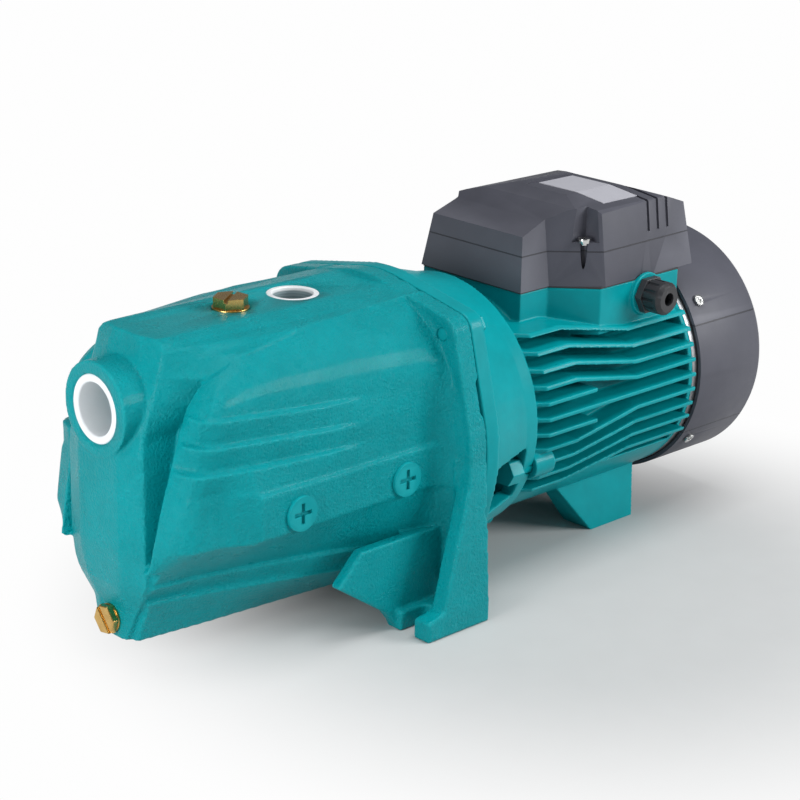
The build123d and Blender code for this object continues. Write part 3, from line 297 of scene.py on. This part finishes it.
def skinned(piece, grain, passes, keep):
    """One even skin over solids that may overlap, its edges as soft as a mould leaves them."""
    skin = piece.modifiers.new("skin", "REMESH")
    skin.mode = "VOXEL"
    skin.voxel_size = grain
    skin.use_smooth_shade = True
    soft = piece.modifiers.new("soft", "SMOOTH")
    soft.factor = 0.5
    soft.iterations = passes
    thin = piece.modifiers.new("thin", "DECIMATE")
    thin.ratio = keep
    worked_in(piece)


def cast(node, grain, passes=0, keep=1.0):
    piece = bpy.data.objects.new("cast_" + node, nodes[node].data.copy())
    in_view.link(piece)
    skinned(piece, grain * (1.0), passes, keep)
    return piece


mm = 0.001
nose_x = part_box("suction_insert")[0].x      # the suction face, from which the casing is measured
casing_length = 222                         # in mm, as all the sizes of its outlines are
joint_x = nose_x + casing_length * mm
flange_radius, shaft_height = 98.5, 106
fillet_start, fillet_end = 192, 208         # where the tank's side runs out into the flange
hollow_low, hollow_high = 71, 184           # between these heights a hollow parts nose and hood
hood_low = 150                              # from this height up the cheek runs on into the hood
louvre_lines = 166, 150, 134                # where the louvres wrap round the hood's front


def run(at, *stops):
    """A size that changes evenly between stops of (place, size)."""
    return np.interp(at, [place for place, size in stops], [size for place, size in stops])


def lapped(z, line, step, fade, edge=1.5):
    """A step out over a short edge below a line, which leans back in over the next stretch."""
    below = line - z
    return step * np.clip(below / edge, 0, 1) * np.clip(1 - (below - edge) / fade, 0, 1)


def tank_side(s, z):
    """How far the tank's side stands off the middle, s behind the suction face and z up."""
    # The edges that run along the side: three louvres, the sill below the belt, and the belly's.
    first = run(s, (26, 166), (61, 163), (98, 160), (138, 158), (208, 157))
    second = run(s, (26, 150), (144, 143), (208, 142))
    third = run(s, (26, 134), (149, 130), (208, 129))
    sill = run(s, (9, 60), (133, 56), (208, 50))
    under = run(s, (9, 47), (41, 45), (114, 43), (208, 38))
    belt = run(s, (9, 55), (11, 58), (20, 64.5), (41, 68), (57.5, 77), (60, 79))
    ledge = run(s, (57, 0), (60, 2.0))
    shoulder = run(s, (27, 60.5), (40, 65), (61, 66), (98, 68.5), (138, 72), (208, 76))
    crown = run(s, (26, 176), (30, 181), (36, 188), (44, 197), (60, 205), (74, 208), (117, 211),
                (140, 212), (208, 207))
    # The side from below upwards: a height, and how far out the side is there.
    lines = [
        (18, run(s, (9, 13), (15, 19), (60, 24), (110, 28), (155, 32), (208, 40))),
        (under, run(s, (9, 27), (41, 30), (65, 35), (89, 42), (114, 49), (150, 56), (208, 64))),
        (sill, run(s, (9, 36), (42, 38), (74, 43.5), (107, 50), (133, 56), (165, 64), (208, 74))),
        (87, belt - ledge), (89, belt), (115, belt), (117, belt - ledge),
        (third, run(s, (9, 60), (26, 64), (58, 69.5), (93, 73), (149, 76))),
        (second, run(s, (26, 62.5), (40, 66), (60, 67.5), (100, 71.5), (144, 75.5))),
        (first, shoulder),
    ]
    y = np.zeros_like(s) + lines[0][1]
    for (low, inner), (high, outer) in zip(lines, lines[1:]):
        share = np.clip((z - low) / (high - low), 0, 1)
        y = np.where(z > low, inner + (outer - inner) * share, y)
    rise = np.clip((z - first) / (crown - first), 0, 1)
    y = np.where(z > first, shoulder * np.sqrt(1 - rise ** 2), y)
    louvre = run(s, (20, 3.2), (112, 2.8), (146, 0))
    for line, step, fade in ((first, louvre, 13), (second, louvre, 12), (third, louvre, 12),
                             (sill, 2.4, 9), (under, 2.4, 14)):
        y = y + lapped(z, line, step, fade)
    round_out = np.clip((s - fillet_start) / (fillet_end - fillet_start), 0, 1)
    fillet = 1 - np.sqrt(1 - round_out ** 2)
    rim = np.sqrt(np.clip(flange_radius ** 2 - (z - shaft_height) ** 2, 0, None))
    return y + np.clip(rim - y, 0, None) * fillet


def straight(first, last, shares):
    """The points at these shares of the way from one point to another."""
    return [(first[0] + (last[0] - first[0]) * a, first[1] + (last[1] - first[1]) * a) for a in shares]


def rounded(points, corner, reach, tail):
    """The same outline with the corner at one of its points drawn round, as far as reach each way."""
    points = np.array(points)
    along = np.concatenate([[0], np.cumsum(np.hypot(*np.diff(points, axis=0).T))])
    result = points.copy()
    for i in range(max(corner - tail, 1), min(corner + tail, len(points) - 1)):
        span = max(min(reach - abs(along[i] - along[corner]) * 0.5, along[i] - along[corner - tail]), 0)
        spots = along[i] + np.linspace(-span, span, 9)
        result[i] = [np.interp(spots, along, points[:, k]).mean() for k in (0, 1)]
    return [tuple(p) for p in result]


def casing_row(z, on_nose=24, in_hollow=8, on_hood=14, on_side=150):
    """One side of the casing at a height: points (s, y) from the front face round to the joint."""
    # The nose: its front face, how far out its cheek is, the face's flat part and the bevel's length.
    front = run(z, (18, 9), (38, 9), (54, 4), (78, 1), (140, 1), (152, 5), (165, 11), (175, 15),
                (190, 20), (204, 24))
    cheek = run(z, (18, 13), (36, 20), (50, 30), (60, 34.5), (68, 36), (130, 35.5), (140, 34.5),
                (152, 32), (165, 31), (190, 31.5), (198, 32), (202, 29), (204, 24))
    flat = run(z, (18, 8), (50, 15), (68, 18), (140, 18), (165, 15), (198, 14), (204, 12))
    bevel = run(z, (18, 1), (50, 4), (68, 6), (140, 6), (165, 4.5), (204, 4))
    # The hood: where its front edge stands, the hollow behind the nose, and the tank's own corner.
    hood_edge = run(z, (70, 3), (75, 5), (114, 13.5), (134, 19), (150, 24), (168, 30), (177, 37),
                    (184, 44), (190, 60), (193.5, 74), (199, 117), (200, 140), (200.6, 206), (204, 206))
    hood_half = run(z, (70, 40), (150, 33.5), (160, 40), (168, 43.5), (177, 45), (184, 48),
                    (190, 50), (193.5, 51), (199, 47), (200.6, 42), (202, 34), (204, 22))
    depth = run(z, (71, 0), (76, 9), (165, 10), (180, 3), (184, 0))
    inner_half = run(z, (60, 37), (70, 42), (86, 43), (114, 44.5), (134, 46), (166, 46), (184, 46))
    corner = run(z, (18, 12), (60, 11), (73, 10), (87, 11.5), (117, 20), (128, 25), (140, 29),
                 (166, 30.5), (173, 33), (180, 38), (184, 45))
    hollowed = hollow_low <= z < hollow_high
    if z < hollow_low:
        start, start_half = front + bevel + 2, cheek + 0.5
        inner = start + 1, start_half + 0.2
    else:
        start, start_half = hood_edge + depth, cheek + 1.0 if z < hood_low else hood_half
        inner = start - depth, max(inner_half, start_half + 0.5)
    if z >= hollow_high:
        inner = start + 0.6, float(tank_side(np.array([start + 0.6]), z)[0])
    outer_s = inner[0] + 1 if z >= hollow_high else max(corner, inner[0] + 1)
    outer = outer_s, float(tank_side(np.array([outer_s]), z)[0])
    root = start + 0.2, start_half + (2.5 if hollowed else 0)
    wrap = sum(lapped(z, line, 3.0, fade=12) for line in louvre_lines)

    nose = [(front, 0), (front, flat), (front + bevel, cheek), (start, start_half)]
    shares = [0, 0.25, 0.55, 1]
    along = np.linspace(0, 1, on_nose)
    points = list(zip(np.interp(along, shares, [s for s, y in nose]),
                      np.interp(along, shares, [y for s, y in nose])))
    points += straight(root, inner, np.linspace(0, 1, in_hollow))
    along = np.linspace(0, 1, on_hood + 1)[1:]
    points += [(s - wrap * min(3 * a, 1), y) for a, (s, y) in zip(along, straight(inner, outer, along))]
    places = np.linspace(outer_s - wrap, casing_length, on_side + 1)[1:]
    points += list(zip(places, tank_side(np.clip(places, outer_s, fillet_end), np.full(on_side, float(z)))))
    if hollowed:
        points = rounded(points, on_nose + in_hollow + on_hood - 1, reach=7.0, tail=on_hood - 2)
    return points


def closed_between(rows, heights):
    """A closed mesh from outlines of one side, mirrored to the other side and joined all round."""
    count = len(rows[0])
    near = [(nose_x + s * mm, -y * mm, z * mm) for row, z in zip(rows, heights) for s, y in row]
    verts = near + [(x, -y, z) for x, y, z in near]
    half = len(near)
    faces = []
    for r in range(len(rows) - 1):
        for c in range(count - 1):
            a = r * count + c
            quad = (a, a + 1, a + count + 1, a + count)
            faces += [quad, tuple(reversed([v + half for v in quad]))]
        for c, turn in ((0, 1), (count - 1, -1)):
            a = r * count + c
            faces.append((a, a + count, a + count + half, a + half)[::turn])
    for r, turn in ((0, -1), (len(rows) - 1, 1)):
        for c in range(count - 1):
            a = r * count + c
            faces.append((a, a + 1, a + 1 + half, a + half)[::turn])
    return verts, faces


def solid(name, verts, faces):
    """A new object in view from points and faces."""
    mesh = bpy.data.meshes.new(name)
    mesh.from_pydata(verts, [], faces)
    piece = bpy.data.objects.new(name, mesh)
    in_view.link(piece)
    return piece


def drum(name, radius, start, end, sides=96):
    """A closed cylinder from start to end, along x or z."""
    start, end = Vector(start), Vector(end)
    way = (end - start).normalized()
    across = Vector((way.z, way.x, way.y))
    over = way.cross(across)
    ring = [(across * cos(radians(360 * i / sides)) + over * sin(radians(360 * i / sides))) * radius
            for i in range(sides)]
    verts = [start + p for p in ring] + [end + p for p in ring]
    faces = [(i, (i + 1) % sides, sides + (i + 1) % sides, sides + i) for i in range(sides)]
    faces += [tuple(reversed(range(sides))), tuple(range(sides, 2 * sides))]
    return solid(name, verts, faces)


def boxed(name, low, high):
    """A closed box between two corners."""
    (x0, y0, z0), (x1, y1, z1) = low, high
    verts = [(x, y, z) for x in (x0, x1) for y in (y0, y1) for z in (z0, z1)]
    faces = [(0, 1, 3, 2), (4, 6, 7, 5), (0, 4, 5, 1), (2, 3, 7, 6), (0, 2, 6, 4), (1, 5, 7, 3)]
    return solid(name, verts, faces)


def joined(name, pieces):
    """Several closed meshes as one object, still overlapping."""
    verts, faces = [], []
    for piece in pieces:
        first = len(verts)
        verts += [piece.matrix_world @ v.co for v in piece.data.vertices]
        faces += [tuple(first + i for i in p.vertices) for p in piece.data.polygons]
        bpy.data.objects.remove(piece)
    return solid(name, verts, faces)


def cut(piece, tool, way="DIFFERENCE"):
    """Takes a tool's solid out of a piece, or keeps only what is in it, and puts the tool away."""
    work = piece.modifiers.new("cut", "BOOLEAN")
    work.operation = way
    work.solver = "MANIFOLD"
    work.object = tool
    worked_in(piece)
    bpy.data.objects.remove(tool)


# The rows stand closer together at the hollow's lower edge and over the deck, where most changes.
heights = [*np.arange(18, 70.5, 1.0), *np.arange(70.6, 72, 0.4), *np.arange(72.5, 196, 1.0),
           *np.arange(196, 204.1, 0.4)]
suction_height = 162 * mm
tank = solid("tank", *closed_between([casing_row(z) for z in heights], heights))
boss = drum("boss", 28.6 * mm, (nose_x, 0, suction_height), (nose_x + 40 * mm, 0, suction_height))

# The flange and the feet are cut from a copy of the solid itself. Each foot's tools start so far
# behind the suction face and so far off the middle, and reach from one height to another.
past_side, past_joint = 0.2, joint_x + 0.001
tools = [boxed("flange_tool", (joint_x - 15 * mm, -past_side, -0.01), (past_joint, past_side, 0.3))]
for front, inside, bottom, top in ((0.110, 0.0705, -0.01, 0.060), (0.150, 0.0895, 0.0, 0.107)):
    for near, far in ((-past_side, -inside), (inside, past_side)):
        tools.append(boxed("foot_tool", (nose_x + front, near, bottom), (past_joint, far, top)))
whole = cast("pump_casing", 0.0011)
shares_of_whole = []
for tool in tools:
    share = bpy.data.objects.new("share", whole.data.copy())
    in_view.link(share)
    cut(share, tool, "INTERSECT")
    shares_of_whole.append(share)
bpy.data.objects.remove(whole)

casing = joined("casing_of_the_pump", [tank, boss] + shares_of_whole)
skinned(casing, 0.0009, passes=2, keep=0.45)
discharge_x, filler_x, drain_height, over_deck = joint_x - 0.072, joint_x - 0.121, 0.029, 0.206
# Each bore has its radius in mm, and the two places between which it runs.
for bore, radius, start, end in (
        ("suction_bore", 20.95, (nose_x - 0.001, 0, suction_height), (nose_x + 0.026, 0, suction_height)),
        ("suction_way", 18.0, (nose_x + 0.025, 0, suction_height), (nose_x + 0.040, 0, suction_height)),
        ("discharge_bore", 16.6, (discharge_x, 0, 0.182), (discharge_x, 0, over_deck)),
        ("discharge_way", 13.6, (discharge_x, 0, 0.164), (discharge_x, 0, 0.183)),
        ("filler_bore", 8.3, (filler_x, 0, 0.164), (filler_x, 0, over_deck)),
        ("filler_seat", 12.5, (filler_x, 0, 0.203), (filler_x, 0, over_deck)),
        ("drain_bore", 6.6, (nose_x - 0.001, 0, drain_height), (nose_x + 0.028, 0, drain_height))):
    cut(casing, drum(bore, radius * mm, start, end))
settle(casing, enamel("enamel_on_sand_casting", grain=0.0018, depth=0.0016, rough=0.22),
       "pump", "teal_paint", "pump_casing")
for face in casing.data.polygons:
    face.use_smooth = True


# ---- port inserts --------------------------------------------------------------------------------
# Two moulded sleeves of white nylon, pressed into the casing's bores. Their own threads take the
# pipes, so that steel never meets the enamel, and a smooth lip stands at each mouth.
def moulded(name, dark, pale, grain, depth, rough, **fixed):
    """Moulded plastic or rubber with the fine grain of its mould."""
    finish = Finish(name, **fixed)
    patches = mottle(finish, 0.02, 3.0)
    colour = blended(finish, patches, tint(*dark), tint(*pale))
    scuffs = edge_wear_and_highlight(finish, 0.51, 0.6)
    finish.feed(finish.surface, {
        "Base Color": blended(finish, scuffs * 0.25, colour, tint(*(min(255, c + 60) for c in pale))),
        "Roughness": mottle(finish, 0.009) * 0.12 + rough,
        "Normal": relief(finish, mottle(finish, grain, 2.0), depth),
    })
    return finish


def dress(finish, *names):
    """Gives a finish to CAD nodes whose shape is right as it is."""
    for name in names:
        for place in nodes[name].material_slots:
            place.material = finish.material


def eased(node, width, rounds=2, sharp=35):
    """A copy of a small solid with its edges broken, as tumbling or turning leaves them."""
    piece = bpy.data.objects.new("eased_" + node, nodes[node].data.copy())
    in_view.link(piece)
    welded = piece.modifiers.new("welded", "WELD")
    welded.merge_threshold = 0.00001
    flat = piece.modifiers.new("flat", "DECIMATE")
    flat.decimate_type = "DISSOLVE"
    flat.angle_limit = radians(1)
    edge = piece.modifiers.new("edge", "BEVEL")
    edge.width = width
    edge.segments = rounds
    edge.limit_method = "ANGLE"
    edge.angle_limit = radians(sharp)
    edge.harden_normals = False
    return piece


white = (214, 219, 223), (236, 239, 241)
nylon = moulded("white_nylon", *white, grain=0.0008, depth=0.00004, rough=0.3)
settle(eased("suction_insert", 0.0012, rounds=3), nylon, "pump", "white_plastic", "suction_insert")
# The discharge's thread is seen from above, where it lies in the shade below the white lip, so below the lip
# the nylon's colour is painted a darker grey-teal as shade.
nylon_with_painted_bore_shade = moulded("white_nylon_with_painted_bore_shade", *white, grain=0.0008, depth=0.00004, rough=0.3)
insert_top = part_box("discharge_insert")[1].z
place = nylon_with_painted_bore_shade.node("TexCoord", output="Object")
level = nylon_with_painted_bore_shade.node("SeparateXYZ", {}, {0: place}, output="Z")
bore_shade_mask = nylon_with_painted_bore_shade.node("MapRange", {}, {
    "Value": level, "From Min": insert_top - 0.0016, "From Max": insert_top - 0.0028})
thread = nylon_with_painted_bore_shade.node("TexWave", {"bands_direction": "Z"}, {"Vector": place, "Scale": 170.0})
# Painted shade on the thread, in two dark tones along its turns.
painted_thread_shade = blended(nylon_with_painted_bore_shade, thread, tint(96, 122, 128), tint(128, 150, 156))
nylon_with_painted_bore_shade.feed(nylon_with_painted_bore_shade.surface, {
    "Base Color": blended(nylon_with_painted_bore_shade, bore_shade_mask * 0.92, tint(*white[1]), painted_thread_shade)})
settle(eased("discharge_insert", 0.0010, rounds=3), nylon_with_painted_bore_shade, "pump", "white_plastic", "discharge_insert")


# ---- filler plug and drain plug ------------------------------------------------------------------
# Hexagon brass plugs with a screwdriver slot, turned from bar, each on a soft brass washer. They
# screw into the deck and into the foot of the nose, and dull a little where hands touch them.
def metal(name, dark, pale, grain, depth, rough, stretch=(1.0, 1.0, 1.0), spread=0.16):
    """Bare metal with tool marks, drawn out along the way that it was worked."""
    finish = Finish(name, Metallic=1.0)
    patches = mottle(finish, 0.006, 4.0)
    marks = mottle(finish, grain, 3.0, stretch)
    finish.feed(finish.surface, {
        "Base Color": blended(finish, patches, tint(*dark), tint(*pale)),
        "Roughness": marks * spread + rough,
        "Normal": relief(finish, marks, depth),
    })
    return finish


brass = metal("turned_brass", (176, 138, 74), (222, 188, 118),
              grain=0.0006, depth=0.00003, rough=0.2, stretch=(1, 1, 0.25))
for plug in ("filler", "drain"):
    settle(eased(plug + "_plug", 0.0006), brass, plug + "_plug", "brass", plug + "_plug")
    settle(eased(plug + "_washer", 0.0003), brass, plug + "_plug", "brass", plug + "_washer")


# ---- side plugs ----------------------------------------------------------------------------------
# Four round cast plugs with a cross-shaped recess for a driver. They close the core holes in the
# belt of the tank and are painted over with it.
bolt_enamel = enamel("enamel_on_fixings", grain=0.0022, depth=0.00008, rough=0.3)
settle(eased("side_plugs", 0.0008, rounds=3), bolt_enamel, "pump", "teal_paint", "side_plugs")


# ---- ejector -------------------------------------------------------------------------------------
# A brass nozzle in the wall of the suction box blows into a plastic venturi tube. The tube ends
# in the guide vane's hub, where a rubber ring seals it.
filled_nylon = moulded("glass_filled_nylon", (34, 36, 40), (50, 52, 56),
                       grain=0.0006, depth=0.00005, rough=0.45)
soft_rubber = moulded("black_rubber", (22, 22, 23), (33, 33, 34), grain=0.0004, depth=0.00003, rough=0.62)
dress(brass, "ejector_nozzle")
dress(filled_nylon, "venturi_tube")
dress(soft_rubber, "venturi_seal")


# ---- guide vane and impeller ---------------------------------------------------------------------
# The guide vane is a plastic disc that the pump's pressure holds in place. The brass impeller is
# keyed to the shaft and held by a nut; its vanes run between two cast shrouds.
turned_steel = metal("turned_steel", (128, 130, 134), (168, 170, 174),
                     grain=0.0005, depth=0.00002, rough=0.24, stretch=(1, 0.2, 0.2))
dress(filled_nylon, "guide_vane")
dress(metal("cast_brass", (158, 124, 66), (204, 170, 104),
            grain=0.0011, depth=0.00012, rough=0.34), "impeller")
dress(turned_steel, "impeller_key", "impeller_nut")


# ---- motor bracket -------------------------------------------------------------------------------
# A second iron casting between the casing and the motor. It closes the pump chamber and carries
# the shaft seal and the front bearing. Four bolts hold it to the casing's flange, and four more, all
# in its lower half, hold the motor.
smooth_enamel = enamel("enamel_on_fine_casting", grain=0.0028, depth=0.0001, rough=0.3)
settle(cast("motor_bracket", 0.0010, passes=3, keep=0.5), smooth_enamel,
       "pump", "teal_paint", "motor_bracket")
settle(eased("flange_bolts", 0.0007), bolt_enamel, "pump", "teal_paint", "flange_bolts")
settle(eased("bracket_bolts", 0.0009), bolt_enamel, "pump", "teal_paint", "bracket_bolts")
dress(soft_rubber, "casing_seal")


# ---- shaft seal ----------------------------------------------------------------------------------
# A mechanical seal: a ceramic seat in a rubber cup stands still, and a carbon ring that a steel
# spring pushes runs against it. A rubber slinger throws drips off before the bearing.
dress(soft_rubber, "seal_cup", "slinger")
dress(moulded("ground_ceramic", (222, 218, 206), (238, 235, 226),
              grain=0.0004, depth=0.00001, rough=0.12), "seal_seat")
dress(moulded("lapped_carbon", (30, 30, 32), (46, 46, 48),
              grain=0.0003, depth=0.00001, rough=0.22), "seal_ring")
dress(turned_steel, "seal_spring")


# ---- shaft, bearings and rotor -------------------------------------------------------------------
# The shaft is turned and ground steel. Ball bearings sit at both ends of the rotor, which is a
# stack of thin steel sheets with cast end rings.
bearing_steel = metal("ground_bearing_steel", (170, 172, 176), (200, 202, 205),
                      grain=0.0004, depth=0.00001, rough=0.14)
stacked = Finish("stacked_sheets", Metallic=1.0)
sheets = stacked.node("TexWave", {"bands_direction": "X"}, {
    "Vector": stacked.node("TexCoord", output="Object"), "Scale": 320.0, "Distortion": 0.4})
greys = sheets * 0.6 + mottle(stacked, 0.01) * 0.4
stacked.feed(stacked.surface, {
    "Base Color": blended(stacked, greys, tint(72, 72, 76), tint(128, 128, 132)),
    "Roughness": mottle(stacked, 0.004) * 0.2 + 0.38,
    "Normal": relief(stacked, sheets, 0.0001),
})
dress(turned_steel, "shaft", "bearing_washer")
for end in ("front", "rear"):
    dress(bearing_steel, end + "_bearing_outer_ring", end + "_bearing_inner_ring", end + "_bearing_balls")
dress(stacked, "rotor_core")


# ---- stator --------------------------------------------------------------------------------------
# The stator is a thicker stack of the same sheets, pressed into the housing. Varnished copper coils
# fill its slots and turn back in a rounded bundle at each end.
dress(stacked, "stator_core")
wound = Finish("varnished_copper", Metallic=0.85, Coat_Roughness=0.2)
strands = wound.node("TexWave", {"bands_direction": "DIAGONAL"}, {
    "Vector": wound.node("TexCoord", output="Object"), "Scale": 260.0, "Distortion": 3.0})
wound.feed(wound.surface, {
    "Base Color": blended(wound, strands, tint(110, 52, 22), tint(198, 112, 62)),
    "Roughness": mottle(wound, 0.003) * 0.2 + 0.3,
    "Coat Weight": mottle(wound, 0.01) * 0.4 + 0.3,
    "Normal": relief(wound, strands, 0.0003),
})
dress(wound, "stator_windings")


# ---- motor housing -------------------------------------------------------------------------------
# Die-cast aluminium with wavy cooling fins along both sides, a smooth shell and two legs below, and
# the base of the terminal box on top, all one casting in the same enamel.
die_enamel = enamel("enamel_on_die_casting", grain=0.004, depth=0.00006, rough=0.28)
settle(cast("motor_housing", 0.0007, passes=2, keep=0.4), die_enamel, "pump", "teal_paint", "motor_housing")


# ---- rear shield, fan and fan cover --------------------------------------------------------------
# The aluminium shield holds the rear bearing and is screwed to the housing. A plastic fan is clipped
# to the shaft behind it, under a moulded cover that four screws hold to the shield's rim.
def seamed(finish, *heights, half_width=0.00045):
    """Fine lines round a moulding at some heights, where the halves of its mould meet."""
    level = finish.node("SeparateXYZ", {}, {0: finish.node("TexCoord", output="Object")}, output="Z")
    lines = sum(finish.node("Math", {"operation": "COMPARE"}, {0: level, 1: height, 2: half_width})
                for height in heights)
    grain = mottle(finish, 0.0008, 2.0)
    ground = finish.surface.inputs["Base Color"].links[0].from_socket
    finish.feed(finish.surface, {
        "Base Color": blended(finish, lines * 0.7, Shade(finish.tree, ground), tint(30, 31, 35)),
        "Normal": relief(finish, grain * 0.06 - lines, 0.0006),
    })


dark_plastic = (62, 63, 72), (76, 77, 87)
die_cast = metal("die_cast_aluminium", (150, 152, 155), (186, 188, 190),
                 grain=0.0014, depth=0.0001, rough=0.36)
zinc = metal("zinc_plate", (176, 178, 180), (214, 214, 210), grain=0.0005, depth=0.00002, rough=0.18)
dress(die_cast, "rear_shield")
dress(zinc, "shield_screws")
dress(filled_nylon, "fan")
dress(turned_steel, "fan_clip")
cover_plastic = moulded("black_moulding", *dark_plastic,
                        grain=0.0007, depth=0.00005, rough=0.46, Specular_IOR_Level=0.35)
seamed(cover_plastic, 0.063, 0.142)
settle(eased("fan_cover", 0.0007), cover_plastic, "pump", "black_plastic", "fan_cover")
settle(eased("fan_cover_screws", 0.0003), zinc, "pump", "zinc", "fan_cover_screws")


# ---- terminal box --------------------------------------------------------------------------------
# Under a moulded cover on a rubber gasket stand the terminal block with its brass studs and the run
# capacitor. Two long screws hold the cover, and a blank foil label is stuck on its near slope.
dress(soft_rubber, "terminal_gasket")
dress(filled_nylon, "terminal_block")
dress(brass, "terminal_studs")
dress(die_cast, "capacitor")
box_plastic = moulded("dark_grey_moulding", *dark_plastic,
                      grain=0.0007, depth=0.00005, rough=0.44, Specular_IOR_Level=0.35)
seam_above_rim, head_height = 0.023, 0.0045
seamed(box_plastic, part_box("terminal_cover")[0].z + seam_above_rim)
settle(eased("terminal_cover", 0.0012, rounds=3, sharp=24), box_plastic,
       "pump", "black_plastic", "terminal_cover")
# What shows of each screw is its head, so it is cut off just below.
screws = eased("cover_screws", 0.0003)
cut(screws, boxed("below_heads", (-1, -1, 0), (1, 1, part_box("cover_screws")[1].z - head_height)))
settle(screws, zinc, "pump", "zinc", "cover_screws")
dress(moulded("satin_label", (150, 150, 158), (164, 164, 172),
              grain=0.0009, depth=0.00002, rough=0.34), "nameplate")


# ---- cable gland ---------------------------------------------------------------------------------
# A plastic gland screwed into the side of the box: a hexagon body, a rubber seal and a fluted dome
# nut. No cable is fitted, so its bore is open.
gland_plastic = moulded("black_gland_nylon", (30, 31, 34), (42, 43, 47),
                        grain=0.0005, depth=0.00003, rough=0.34)
settle(eased("gland_body", 0.0006), gland_plastic, "pump", "black_plastic", "gland_body")
settle(eased("gland_nut", 0.0005), gland_plastic, "pump", "black_plastic", "gland_nut")
dress(soft_rubber, "gland_seal")
